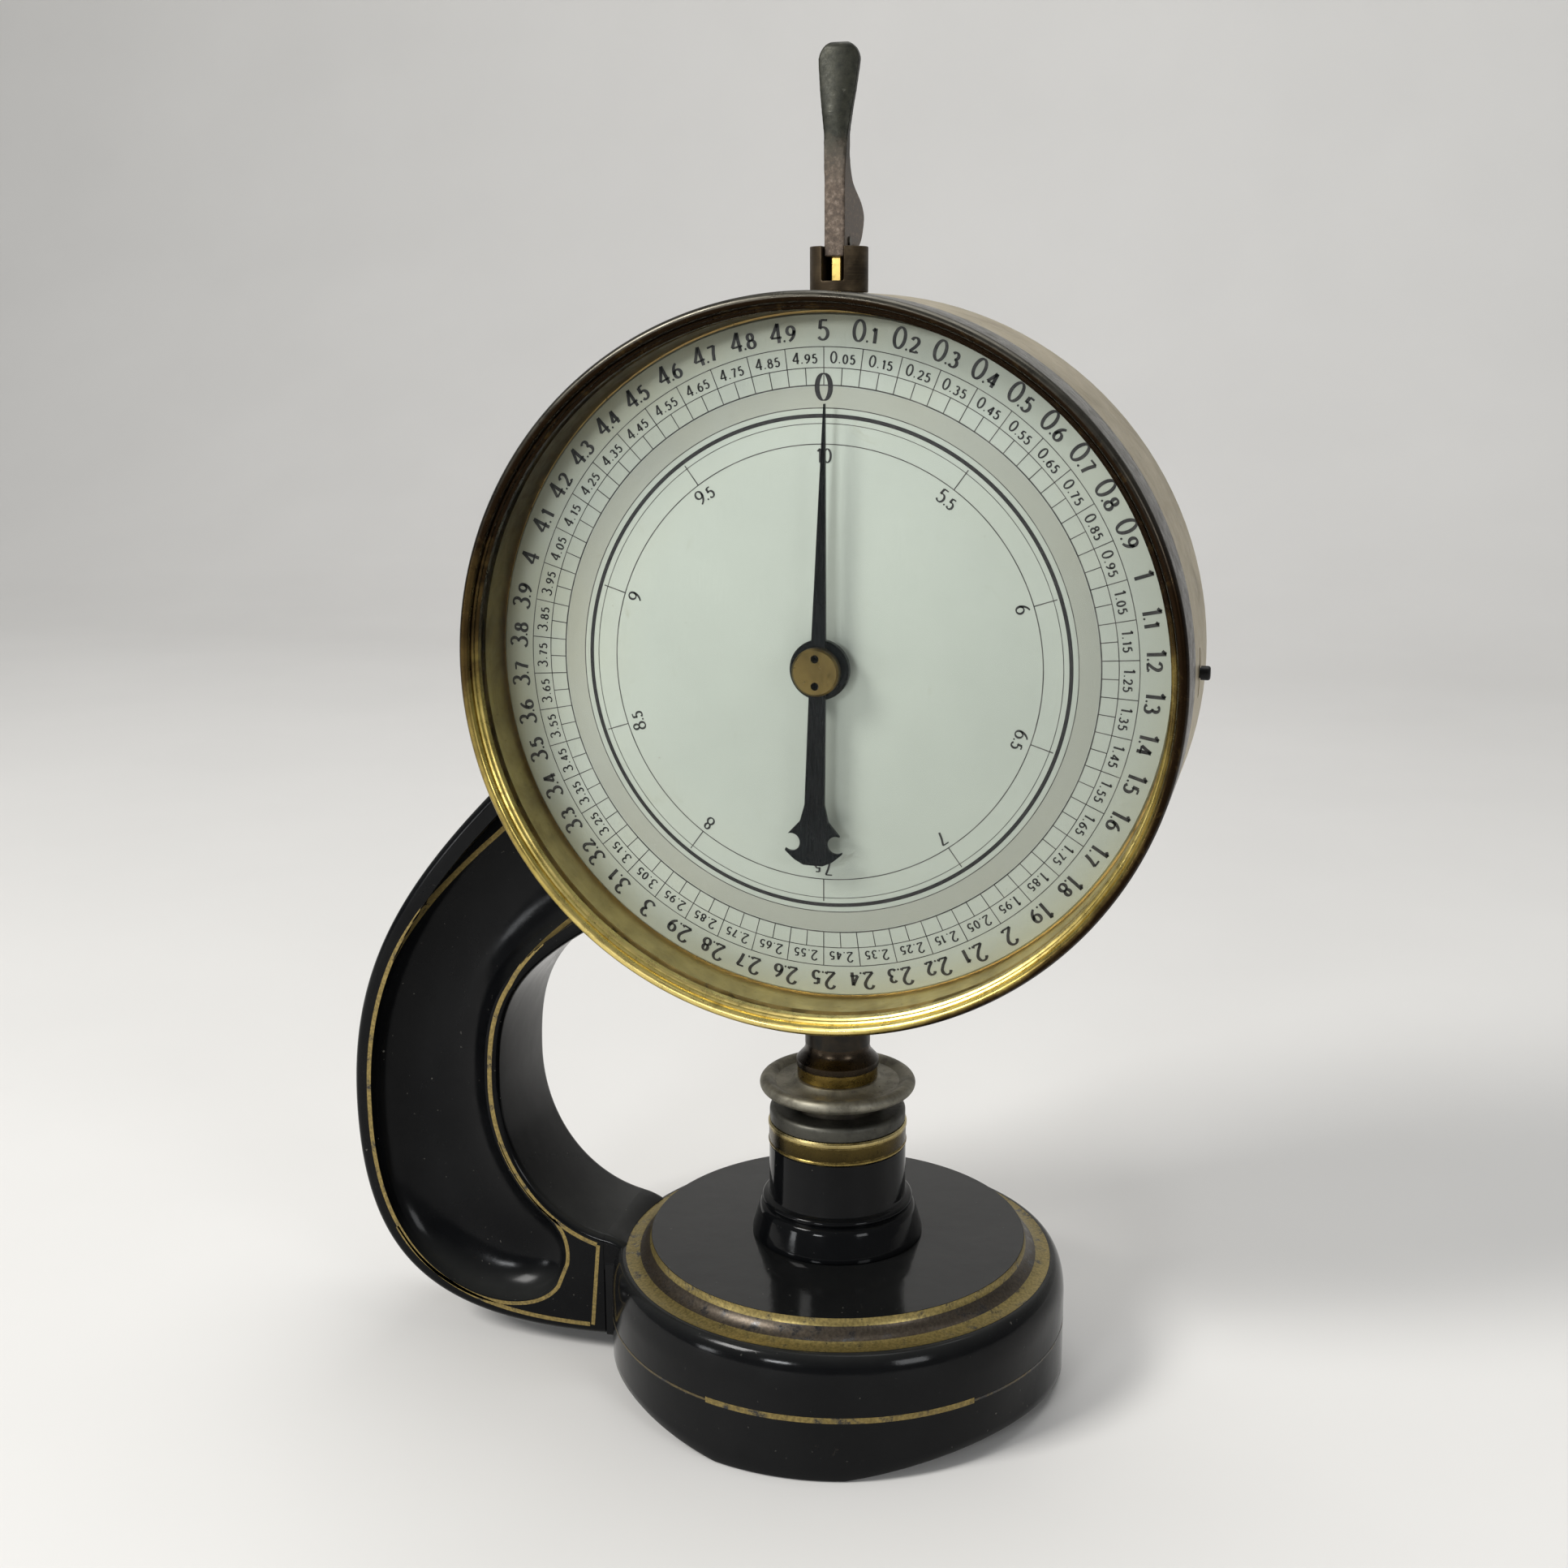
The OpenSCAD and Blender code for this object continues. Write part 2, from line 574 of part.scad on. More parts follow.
module case_drum() {
    front_ledge_y = plate_back_y;
    color(brass) difference() {
        union() {
            turned([[bore_r, spigot_y], [bezel_bore - seat_fit, spigot_y], [bezel_bore - seat_fit, skirt_end_y],
                [case_r, skirt_end_y], [case_r, case_rear], [bore_r, case_rear],
                [bore_r, rear_ledge_y + ledge_t], [bore_r - ledge_w, rear_ledge_y + ledge_t],
                [bore_r - ledge_w, rear_ledge_y], [bore_r, rear_ledge_y],
                [bore_r, front_ledge_y + ledge_t], [bore_r - ledge_w, front_ledge_y + ledge_t],
                [bore_r - ledge_w, front_ledge_y], [bore_r, front_ledge_y]]);
        }
        translate([0, 0, case_z - 1]) cylinder(r = lower_guide_r + seat_fit, h = case_wall + 3);
        translate([0, 0, case_top - case_wall - 2])
            cylinder(r = upper_guide_r + seat_fit, h = case_wall + 4, $fn = small_fn);
        translate([0, 0, lower_flange_z - 0.1])
            cylinder(r = lower_flange_r + pass_gap, h = lower_guide_top - lower_flange_z + 1);
        translate([0, 0, upper_guide_z - 1])
            cylinder(r = guide_flange_r + pass_gap, h = guide_seat_z - upper_guide_z + 1);
        for (a = saddle_angles) on_ray(a, bore_r - 2, 0)
            cylinder(r = arm_screw_r + 0.1, h = case_wall + 4, $fn = small_fn);
        zero_slot();
        for (a = plate_screw_angles) let (p = polar(bore_r - ledge_w / 2, a))
            rod_y(small_screw_r + seat_fit, front_ledge_y - 1, front_ledge_y + ledge_t + 1, p[0], dial_z + p[1]);
        for (a = back_screw_angles) let (p = polar(bore_r - ledge_w / 2, a))
            rod_y(small_screw_r + seat_fit, rear_ledge_y - 1, rear_ledge_y + ledge_t + 1, p[0], dial_z + p[1]);
    }
}

// Room for the zero stud and its arm as they swing with the dial
stud_r = stud_head_r - 0.3;
stud_arm_w = 3;
stud_arm_t = 2.2;
stud_arm_r = bore_r - dial_gap - 0.3;
module zero_slot() {
    sweep = case_r * sin(zero_swing);
    translate([bore_r - 1, -stud_r - 0.15, dial_z - sweep])
        cube([case_wall + 3, 2 * stud_r + 0.3, 2 * sweep]);
    for (a = [-zero_swing, zero_swing]) on_ray(a, bore_r - 1, 0)
        cylinder(r = stud_r + 0.15, h = case_wall + 3, $fn = small_fn);
    notch = stud_arm_w / 2 + bore_r * sin(zero_swing) + 0.6;
    translate([bore_r - ledge_w - 0.5, plate_y - 1, dial_z - notch])
        cube([ledge_w + 0.8, plate_t + ledge_t + 1 + pass_gap, 2 * notch]);
}

module case_back() {
    color(brass) difference() {
        turned([[0, rear_ledge_y + ledge_t], [bore_r - seat_fit, rear_ledge_y + ledge_t],
            [bore_r - seat_fit, case_rear - 0.5], [bore_r - 0.5, case_rear], [0, case_rear]]);
        for (a = back_screw_angles) let (p = polar(bore_r - ledge_w / 2, a))
            rod_y(small_screw_r + 0.1, rear_ledge_y, case_rear + 1, p[0], dial_z + p[1]);
    }
}

module back_screws() {
    color(steel) for (a = back_screw_angles) let (p = polar(bore_r - ledge_w / 2, a))
        translate([p[0], case_rear, dial_z + p[1]]) rotate([90, 0, 0])
            screw(small_screw_r, back_t + ledge_t - 0.3, 1.7, 1);
}

module bezel() {
    bead = 1.3;
    color(brass) turned(concat(
        [[bezel_bore, skirt_end_y], [bezel_bore, glass_y], [lip_r, glass_y], [lip_r, glass_y - lip_len]],
        arc([case_r - bead, -case_front + bead], bead, bead, 230, 360, 10),
        [[case_r, skirt_end_y]]));
}

module glass() {
    color(glass_tint) turned([[0, glass_y], [bezel_bore - seat_fit, glass_y],
        [bezel_bore - seat_fit, glass_ring_y], [0, glass_ring_y]]);
}

module glass_ring() {
    color(brass) turned([[bore_r, glass_ring_y], [bezel_bore - seat_fit, glass_ring_y],
        [bezel_bore - seat_fit, spigot_y], [bore_r, spigot_y]]);
}

// Works

plate_hub_r = 2.9;
pillar_places = [[-centre_spread, dial_z, centre_bridge_y], [centre_spread, dial_z, centre_bridge_y],
    [wheel_x - back_spread, wheel_z, back_bridge_y], [wheel_x + back_spread, wheel_z, back_bridge_y]];
pillar_spigot = 1.2;

module movement_plate() {
    countersink = 1.7;
    color(brass) difference() {
        union() {
            turned([[0, plate_y], [bore_r - seat_fit, plate_y], [bore_r - seat_fit, plate_back_y],
                [0, plate_back_y]]);
            rod_y(plate_hub_r, dial_y + 0.1, plate_y + eps, 0, dial_z);
        }
        rod_y(arbor_r + running_fit, dial_y - 1, plate_back_y + 1, 0, dial_z);
        rod_y(arbor_r + running_fit, plate_y - 1, plate_back_y + 1, wheel_x, wheel_z);
        for (p = pillar_places) rod_y(pillar_spigot + seat_fit, plate_y - 1, plate_back_y + 1, p[0], p[1]);
        for (a = plate_screw_angles) let (p = polar(bore_r - ledge_w / 2, a))
            translate([p[0], plate_y - eps, dial_z + p[1]]) rotate([-90, 0, 0])
                cylinder(r1 = countersink, r2 = small_screw_r, h = plate_t + 2 * eps, $fn = small_fn);
        zero_slot();
    }
}

module movement_screws() {
    head = 1.6;
    color(steel) for (a = plate_screw_angles) let (p = polar(bore_r - ledge_w / 2, a))
        translate([p[0], plate_y + 0.1, dial_z + p[1]]) rotate([-90, 0, 0]) union() {
            cylinder(r1 = head - 0.1, r2 = small_screw_r - 0.1, h = plate_t - 0.1, $fn = small_fn);
            cylinder(r = small_screw_r - 0.1, h = plate_t + ledge_t - 0.3, $fn = small_fn);
        }
}

module pillars() {
    color(brass) for (p = pillar_places) difference() {
        union() {
            rod_y(pillar_r, plate_back_y, p[2], p[0], p[1]);
            rod_y(pillar_spigot, plate_y + 0.1, plate_back_y + eps, p[0], p[1]);
        }
        rod_y(small_screw_r + seat_fit, p[2] - 1.8, p[2] + 1, p[0], p[1]);
    }
}

// A bridge bar with round ends, a bearing and two screw holes
module bridge(y, x0, x1, z, bearing_x) {
    color(brass) difference() {
        slab_y(y, y + bridge_t) {
            translate([x0, z - bridge_w / 2]) square([x1 - x0, bridge_w]);
            for (x = [x0, x1]) translate([x, z]) circle(r = bridge_w / 2, $fn = small_fn);
        }
        rod_y(arbor_r + running_fit, y - 1, y + bridge_t + 1, bearing_x, z);
        for (x = [x0, x1]) rod_y(small_screw_r + 0.1, y - 1, y + bridge_t + 1, x, z);
    }
}

module centre_bridge() {
    bridge(centre_bridge_y, -centre_spread, centre_spread, dial_z, 0);
}

module back_bridge() {
    bridge(back_bridge_y, wheel_x - back_spread, wheel_x + back_spread, wheel_z, wheel_x);
}

module bridge_screws() {
    head = 1.6;
    color(steel) for (p = pillar_places) translate([p[0], p[2] + bridge_t, p[1]]) rotate([90, 0, 0])
        screw(small_screw_r, bridge_t + 1.5, head, 1);
}

// Bush with a mouth for the hub's cone; its flange is cut flat to clear the movement plate
module lower_guide() {
    mouth_h = 1;
    flat_y = plate_back_y + 0.3;
    color(brass) difference() {
        union() {
            translate([0, 0, lower_mouth_z])
                cylinder(r = lower_guide_r, h = lower_guide_top - lower_mouth_z);
            translate([0, 0, lower_flange_z]) cylinder(r = lower_flange_r, h = 2);
        }
        translate([0, 0, lower_mouth_z - 1])
            cylinder(r = neck_r + running_fit, h = lower_guide_top - lower_mouth_z + 2);
        translate([0, 0, lower_mouth_z - eps])
            cylinder(r1 = neck_r + 0.85, r2 = neck_r + running_fit, h = mouth_h);
        translate([-lower_flange_r - 1, flat_y - 20, lower_mouth_z - 1])
            cube([2 * lower_flange_r + 2, 20, lower_guide_top]);
    }
}

module upper_guide() {
    color(brass) difference() {
        union() {
            translate([0, 0, upper_guide_z])
                cylinder(r = upper_guide_r, h = case_top + guide_in_boss - upper_guide_z, $fn = small_fn);
            translate([0, 0, guide_seat_z - guide_flange_t]) cylinder(r = guide_flange_r, h = guide_flange_t);
        }
        translate([0, 0, upper_guide_z - 1])
            cylinder(r = rod_r + running_fit, h = case_top + 4 - upper_guide_z, $fn = small_fn);
    }
}

module return_spring() {
    sides = 6;
    per_turn = 8;
    rings = per_turn * spring_turns;
    rise = spring_len - spring_wire;
    pitch = rise / spring_turns;
    echo(spring_gap = pitch - spring_wire);
    function ring_point(j, i) =
        let (a = 360 * j / per_turn, b = 360 * i / sides, r = spring_r + spring_wire / 2 * cos(b))
        [r * cos(a), r * sin(a), spring_bottom + spring_wire / 2 + rise * j / rings + spring_wire / 2 * sin(b)];
    sides_faces = [for (j = [0:rings - 1], i = [0:sides - 1])
        let (a = j * sides + i, b = j * sides + (i + 1) % sides)
        each [[a, b, a + sides], [b, b + sides, a + sides]]];
    caps = [for (i = [1:sides - 2]) each [[0, i + 1, i],
        [rings * sides, rings * sides + i, rings * sides + i + 1]]];
    color(steel) polyhedron(points = [for (j = [0:rings], i = [0:sides - 1]) ring_point(j, i)],
        faces = concat(sides_faces, caps), convexity = 12);
}

// Dial

module dial_plate() {
    r = bore_r - dial_gap;
    color(silvered) turned([[plate_hub_r + running_fit, dial_y], [r - 0.3, dial_y], [r, dial_y + 0.3],
        [r, dial_back_y], [plate_hub_r + running_fit, dial_back_y]]);
}

module zero_stud() {
    arm_end_y = stud_r + 1;
    color(black_enamel) union() {
        translate([stud_arm_r - stud_arm_t, dial_back_y, dial_z - stud_arm_w / 2])
            cube([stud_arm_t, arm_end_y - dial_back_y, stud_arm_w]);
        translate([stud_arm_r - eps, 0, dial_z]) rotate([0, 90, 0])
            cylinder(r = stud_r, h = case_r - stud_arm_r + stud_reach - 0.4, $fn = small_fn);
        translate([case_r + 0.2, 0, dial_z]) rotate([0, 90, 0]) rotate_extrude($fn = small_fn)
            polygon(concat([[0, 0], [stud_head_r, 0]],
                arc([stud_head_r - 0.4, stud_reach - 0.6], 0.4, 0.4, 0, 90, 4), [[0, stud_reach - 0.2]]));
    }
}

// Spindle

module spindle() {
    shoulder = 0.8;
    color(dark_steel) difference() {
        union() {
            translate([0, 0, foot_z + 1]) cylinder(r = spindle_stud_r, h = neck_z - foot_z, $fn = small_fn);
            translate([0, 0, neck_z]) cylinder(r = neck_r, h = neck_top - neck_z - shoulder);
            translate([0, 0, neck_top - shoulder]) cylinder(r1 = neck_r, r2 = stem_r, h = shoulder);
            translate([0, 0, neck_top]) cylinder(r = stem_r, h = collar_z - neck_top);
        }
        translate([-stem_r - 1, -stem_r - 1, neck_top + 2])
            cube([2 * stem_r + 2, stem_r + 1 - stem_flat, collar_z]);
        translate([-stem_r - 1, -stem_r - 1, rack_bottom - seat_fit])
            cube([stem_r + 1 - rack_seat, 2 * stem_r + 2, rack_top - rack_bottom + 2 * seat_fit]);
        translate([0, 0, collar_z - rod_stud_len - 0.5])
            cylinder(r = rod_stud_r + seat_fit, h = rod_stud_len + 1, $fn = small_fn);
    }
}

module rack() {
    m = rack_module;
    half = PI * m / 4 - backlash / 4;
    slope = tan(20);
    tip = rack_line + m;
    root = rack_line - 1.25 * m;
    count = floor((rack_top - rack_bottom) / rack_pitch);
    first = wheel_z - floor((wheel_z - rack_bottom - half - m * slope * 1.25) / rack_pitch) * rack_pitch;
    teeth = [for (k = [0:count]) let (z = first + k * rack_pitch)
        if (z + half + 1.25 * m * slope < rack_top)
            each [[-root, z - half - 1.25 * m * slope], [-tip, z - half + m * slope],
                [-tip, z + half - m * slope], [-root, z + half + 1.25 * m * slope]]];
    color(steel) slab_y(rack_front_y, rack_front_y + rack_w)
        polygon(concat([[-rack_seat, rack_top], [-rack_seat, rack_bottom], [-root, rack_bottom]], teeth,
            [[-root, rack_top]]));
}

module measuring_foot() {
    color(steel) difference() {
        translate([0, 0, foot_z]) cylinder(r = foot_r, h = foot_h);
        translate([0, 0, foot_z + 1 - seat_fit])
            cylinder(r = spindle_stud_r + seat_fit, h = foot_h, $fn = small_fn);
    }
}

// Saucer: flat below, rounded rim, dished on top around the hub
module foot_flange() {
    rim = flange_h / 2;
    dish = 0.5;
    color(dark_steel) rotate_extrude()
        polygon(concat([[spindle_stud_r + seat_fit, flange_z]],
            arc([flange_r - rim, flange_z + rim], rim, rim, -90, 90, 10),
            [[flange_r - rim - 1.2, hub_z - dish], [hub_r + 1, hub_z - dish], [hub_r + 0.3, hub_z],
             [spindle_stud_r + seat_fit, hub_z]]));
}

module foot_hub() {
    color(brass) rotate_extrude()
        polygon([[spindle_stud_r + seat_fit, hub_z], [hub_r, hub_z], [hub_r, hub_z + hub_h],
            [neck_r, neck_z], [spindle_stud_r + seat_fit, neck_z]]);
}

module spring_collar() {
    color(brass) rotate_extrude()
        polygon([[rod_r + seat_fit, collar_z], [spring_collar_r, collar_z],
            [spring_collar_r, spring_bottom - 0.05], [rod_r + seat_fit, spring_bottom - 0.05]]);
}

rod_stud_r = 1.3;
rod_stud_len = 6;
module lift_rod() {
    end_r = rod_r - 0.1;
    color(brass) difference() {
        union() {
            translate([0, 0, collar_z - rod_stud_len])
                cylinder(r = rod_stud_r, h = rod_stud_len + 1, $fn = small_fn);
            translate([0, 0, collar_z]) cylinder(r = rod_r, h = tongue_root - collar_z, $fn = small_fn);
            intersection() {
                translate([0, 0, tongue_root - eps]) cylinder(r = rod_r, h = pin_z + rod_r, $fn = small_fn);
                union() {
                    translate([-tongue_t / 2, -end_r, tongue_root - eps])
                        cube([tongue_t, 2 * end_r, pin_z - tongue_root + eps]);
                    translate([-tongue_t / 2, 0, pin_z]) rotate([0, 90, 0])
                        cylinder(r = end_r, h = tongue_t, $fn = small_fn);
                }
            }
        }
        translate([-rod_r, 0, pin_z]) rotate([0, 90, 0])
            cylinder(r = lever_pin_r + seat_fit, h = 2 * rod_r, $fn = small_fn);
    }
}

module lever_pin() {
    len = lever_t + 0.5;
    color(dark_steel) translate([-len / 2, 0, pin_z]) rotate([0, 90, 0])
        cylinder(r = lever_pin_r, h = len, $fn = small_fn);
}

// Boss on the case with a slot in front and a seat for the cam heel behind
module lift_boss() {
    floor_z = case_top + guide_in_boss + 0.3;
    color(brass) difference() {
        union() {
            translate([0, 0, case_top - 2]) cylinder(r = boss_r, h = boss_h + 2);
            translate([-lug_w / 2, 0, case_top - 2]) cube([lug_w, lug_back, boss_h + 2]);
        }
        rod_y(case_r + seat_fit, -20, 20, 0, dial_z);
        translate([0, 0, case_top - 3]) cylinder(r = rod_r + 0.15, h = boss_h + 5, $fn = small_fn);
        translate([0, 0, case_top - 3]) cylinder(r = upper_guide_r + seat_fit, h = 3 + guide_in_boss + seat_fit, $fn = small_fn);
        translate([-boss_slot / 2, -boss_r - 1, floor_z]) cube([boss_slot, boss_r + 1 + rod_r, boss_h]);
    }
}

// Lever

function heel(a) =
    let (p = pin_above_seat - cam_gap + cam_rate * a * PI / 180)
    [cam_rate * cos(a) + p * sin(a), cam_rate * sin(a) - p * cos(a)];

// Side outline in [y, height above the pin]
function lever_side() =
    let (tip = lever_len, f = lever_front, waist = 12.5)
    concat([[f, -lever_drop], [rod_r - 0.3, -lever_drop], [rod_r - 0.3, -pin_above_seat + cam_gap]],
        [for (i = [0:12]) heel(lever_swing * i / 12)],
        [for (i = [1:10]) let (t = i / 10, h = heel(lever_swing))
            [h[0] + (f + 3.1 - h[0]) * (1 - cos(180 * t)) / 2, h[1] + (waist + 0.8 - h[1]) * t]],
        [[f + 3.2, tip - 9], [f + 4.4, tip - 4]],
        arc([f + 3.6, tip - 1.4], 1.4, 1.4, 20, 160, 6),
        [[f + 1.6, tip - 5], [f + 0.5, tip - 11], [f, waist - 4]]);

// Front outline in [x, height above the pin]
function lever_half() =
    let (c = 2.2)
    concat([[lever_t / 2, -lever_drop - 1], [lever_t / 2, 9], [lever_t / 2 + 0.25, 16],
        [paddle_w / 2 - 0.5, lever_len - 7.5]],
        arc([paddle_w / 2 - c, lever_len - 2.6], c, 2.6, 0, 80, 6));

module lift_lever() {
    half = lever_half();
    n = len(half);
    outline = concat(half, [for (k = [1:n]) [-half[n - k][0], half[n - k][1]]]);
    slot = tongue_t / 2 + tongue_play;
    color(dark_steel) translate([0, 0, pin_z]) difference() {
        intersection() {
            translate([-paddle_w, 0, 0]) rotate([90, 0, 90]) linear_extrude(height = 2 * paddle_w)
                polygon(lever_side());
            slab_y(lever_front - 1, lug_back + 20) polygon(outline);
        }
        translate([-slot, -rod_r - 0.05, -lever_drop - 1]) cube([2 * slot, 30, lever_drop + 1 + heel_slot_h]);
        translate([-paddle_w, 0, 0]) rotate([0, 90, 0])
            cylinder(r = lever_pin_r + running_fit, h = 2 * paddle_w, $fn = small_fn);
    }
}
heel_slot_h = cam_rate + 2.5;

// Gears

module gear(n, m, phase, y0, y1, x, z, bore) {
    difference() {
        slab_y(y0, y1) translate([x, z]) polygon(gear_points(n, m, phase));
        rod_y(bore, y0 - 1, y1 + 1, x, z);
    }
}

module wheel_arbor() {
    color(steel) rod_y(arbor_r, plate_y + 0.1, back_bridge_y + bridge_t, wheel_x, wheel_z);
}

module rack_pinion() {
    play = 0.15;
    color(brass) gear(rack_pinion_teeth, rack_module, 180 / rack_pinion_teeth, rack_front_y - play,
        rack_front_y + rack_w + play, wheel_x, wheel_z, arbor_r + seat_fit);
}

module drive_wheel() {
    spoke_hole_r = wheel_r * 0.24;
    spoke_place = wheel_r * 0.58;
    color(brass) difference() {
        gear(wheel_teeth, wheel_module, mesh_angle, wheel_y, wheel_back_y, wheel_x, wheel_z, arbor_r + seat_fit);
        for (a = [0:72:288]) let (p = polar(spoke_place, a + 20))
            rod_y(spoke_hole_r, wheel_y - 1, wheel_back_y + 1, wheel_x + p[0], wheel_z + p[1]);
    }
}

module centre_arbor() {
    color(steel) rod_y(arbor_r, pointer_y - pointer_hub_t + 0.3, centre_bridge_y + bridge_t, 0, dial_z);
}

module centre_pinion() {
    color(brass) gear(centre_teeth, wheel_module, mesh_angle + 180 + 180 / centre_teeth, wheel_y - 0.2,
        wheel_back_y + 0.1, 0, dial_z, arbor_r + seat_fit);
}

// Pointer: a tapered needle above, a round boss, a bar with a notched fishtail below
function pointer_half() =
    let (boss = collar_r - 1.4, fish_z = tail_len - 5.2, notch_z = tail_len - 3.7)
    concat([[0.12, needle_len], [0.35, needle_len - 8]],
        arc([0, 0], boss, boss, 90 - asin(needle_w / 2 / boss), asin((tail_w / 2 - 0.3) / boss) - 90, 12),
        [[tail_w / 2, 5 - fish_z], [tail_w / 2 + 0.7, 2.2 - fish_z], [fish_w / 2 - 0.5, -fish_z],
         [fish_w / 2, -notch_z - fish_notch_r], [fish_w / 2 - 1.6, 0.8 - tail_len], [1.6, -tail_len]]);

module pointer() {
    half = pointer_half();
    n = len(half);
    outline = concat(half, [for (k = [1:n]) [-half[n - k][0], half[n - k][1]]]);
    color(blued) translate([0, 0, dial_z]) rotate([0, rest_angle, 0]) difference() {
        slab_y(pointer_y, pointer_y + pointer_t) polygon(outline);
        for (x = [-1, 1]) rod_y(fish_notch_r, pointer_y - 1, pointer_y + pointer_t + 1,
            x * (fish_w / 2 - 1), 3.7 - tail_len);
        rod_y(arbor_r + seat_fit, pointer_y - 1, pointer_y + pointer_t + 1, 0, 0);
    }
}

module pointer_collar() {
    y0 = pointer_y + pointer_t;
    color(blued) turned([[arbor_r + seat_fit, y0], [collar_r - 0.3, y0], [collar_r, y0 + 0.3],
        [collar_r, y0 + collar_t], [arbor_r + seat_fit, y0 + collar_t]]);
}

module pointer_hub() {
    key_hole_r = 0.65;
    key_hole_place = 2.2;
    y0 = pointer_y - pointer_hub_t;
    color(brass) difference() {
        turned([[0, y0], [pointer_hub_r - 0.35, y0], [pointer_hub_r, y0 + 0.35], [pointer_hub_r, pointer_y],
            [0, pointer_y]]);
        rod_y(arbor_r + seat_fit, y0 + 0.3 - seat_fit, pointer_y + 1, 0, dial_z);
        for (s = [-1, 1]) rod_y(key_hole_r, y0 - 1, pointer_y + 1, 0, dial_z + s * key_hole_place);
    }
}

translate([axis_x, 0, 0]) {
    base_casting();
    c_arm();
    anvil_post();
    anvil_ring();
    anvil();
    post_screw();
    arm_base_screws();
    saddle_screws();
    case_drum();
    case_back();
    back_screws();
    bezel();
    glass();
    glass_ring();
    movement_plate();
    movement_screws();
    pillars();
    centre_bridge();
    back_bridge();
    bridge_screws();
    lower_guide();
    upper_guide();
    lift_boss();
    return_spring();
    dial_plate();
    zero_stud();
    spindle();
    rack();
    measuring_foot();
    foot_flange();
    foot_hub();
    spring_collar();
    lift_rod();
    lever_pin();
    wheel_arbor();
    rack_pinion();
    drive_wheel();
    centre_arbor();
    centre_pinion();
    pointer();
    pointer_collar();
    pointer_hub();
    lift_lever();
}
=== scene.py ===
from math import cos, pi, radians, sin, sqrt

import bmesh
import bpy
from mathutils import Matrix, Vector


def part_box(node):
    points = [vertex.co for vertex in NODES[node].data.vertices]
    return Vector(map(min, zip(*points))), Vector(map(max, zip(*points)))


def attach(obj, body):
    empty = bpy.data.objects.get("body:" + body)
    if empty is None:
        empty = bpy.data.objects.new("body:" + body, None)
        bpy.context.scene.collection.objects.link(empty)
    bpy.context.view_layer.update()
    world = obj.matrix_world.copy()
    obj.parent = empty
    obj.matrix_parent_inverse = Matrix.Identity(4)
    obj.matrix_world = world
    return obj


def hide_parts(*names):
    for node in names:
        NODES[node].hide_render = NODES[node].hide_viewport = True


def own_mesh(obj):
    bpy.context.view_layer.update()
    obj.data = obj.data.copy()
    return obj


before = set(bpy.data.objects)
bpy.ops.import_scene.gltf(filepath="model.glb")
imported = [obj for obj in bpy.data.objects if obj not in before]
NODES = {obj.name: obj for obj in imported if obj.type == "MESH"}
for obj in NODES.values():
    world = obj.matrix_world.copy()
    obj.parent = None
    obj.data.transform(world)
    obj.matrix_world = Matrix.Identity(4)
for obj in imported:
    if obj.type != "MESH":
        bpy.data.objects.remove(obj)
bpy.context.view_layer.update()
scene = bpy.context.scene

# Places, in millimetres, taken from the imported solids

MM = 0.001


def box_mm(name):
    lo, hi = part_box(name)
    return [v / MM for v in lo], [v / MM for v in hi]


ANVIL, POST, RING, FLANGE, HUB, DRUM, BEZEL, SPRING, DIAL, COVER = map(box_mm, (
    "anvil", "anvil_post", "anvil_ring", "foot_flange", "foot_hub",
    "case_drum", "bezel", "return_spring", "dial_plate", "glass"))
DIAL_Y, GLASS_Y = DIAL[0][1], COVER[0][1]
AX = (ANVIL[0][0] + ANVIL[1][0]) / 2
DZ = (DRUM[0][2] + DRUM[1][2]) / 2
CASE_R = (DRUM[1][2] - DRUM[0][2]) / 2


# Small helpers

def link_object(name, data):
    obj = bpy.data.objects.new(name, data)
    scene.collection.objects.link(obj)
    return obj


def add_mesh(name, verts, faces, material, sharp=35):
    """A mesh from points in millimetres, x counted from the spindle's axis."""
    mesh = bpy.data.meshes.new(name)
    mesh.from_pydata([((x + AX) * MM, y * MM, z * MM) for x, y, z in verts], [], faces)
    mesh.validate()
    mesh.materials.append(material)
    obj = link_object(name, mesh)
    fix_normals(obj)
    if sharp:
        shade(obj, sharp)
    return obj


def fix_normals(obj, weld=False):
    bm = bmesh.new()
    bm.from_mesh(obj.data)
    if weld:
        bmesh.ops.remove_doubles(bm, verts=bm.verts, dist=1e-7)
    bmesh.ops.recalc_face_normals(bm, faces=bm.faces)
    bm.to_mesh(obj.data)
    bm.free()


def smooth_faces(mesh):
    for poly in mesh.polygons:
        poly.use_smooth = True


def shade(obj, angle):
    """Smooth shading, with edges sharper than the angle kept hard."""
    mesh = obj.data
    smooth_faces(mesh)
    bm = bmesh.new()
    bm.from_mesh(mesh)
    limit = radians(angle)
    for edge in bm.edges:
        edge.smooth = not (len(edge.link_faces) == 2 and edge.calc_face_angle(0) > limit)
    bm.to_mesh(mesh)
    bm.free()


def quads(rows, columns, wrap_rows=True, wrap_columns=True, start=0):
    """Faces of a net of points that lie row by row. It closes on itself where it wraps."""
    faces = []
    for j in range(rows if wrap_rows else rows - 1):
        a, b = start + j * columns, start + (j + 1) % rows * columns
        for i in range(columns if wrap_columns else columns - 1):
            k = (i + 1) % columns
            faces.append((a + i, a + k, b + k, b + i))
    return faces


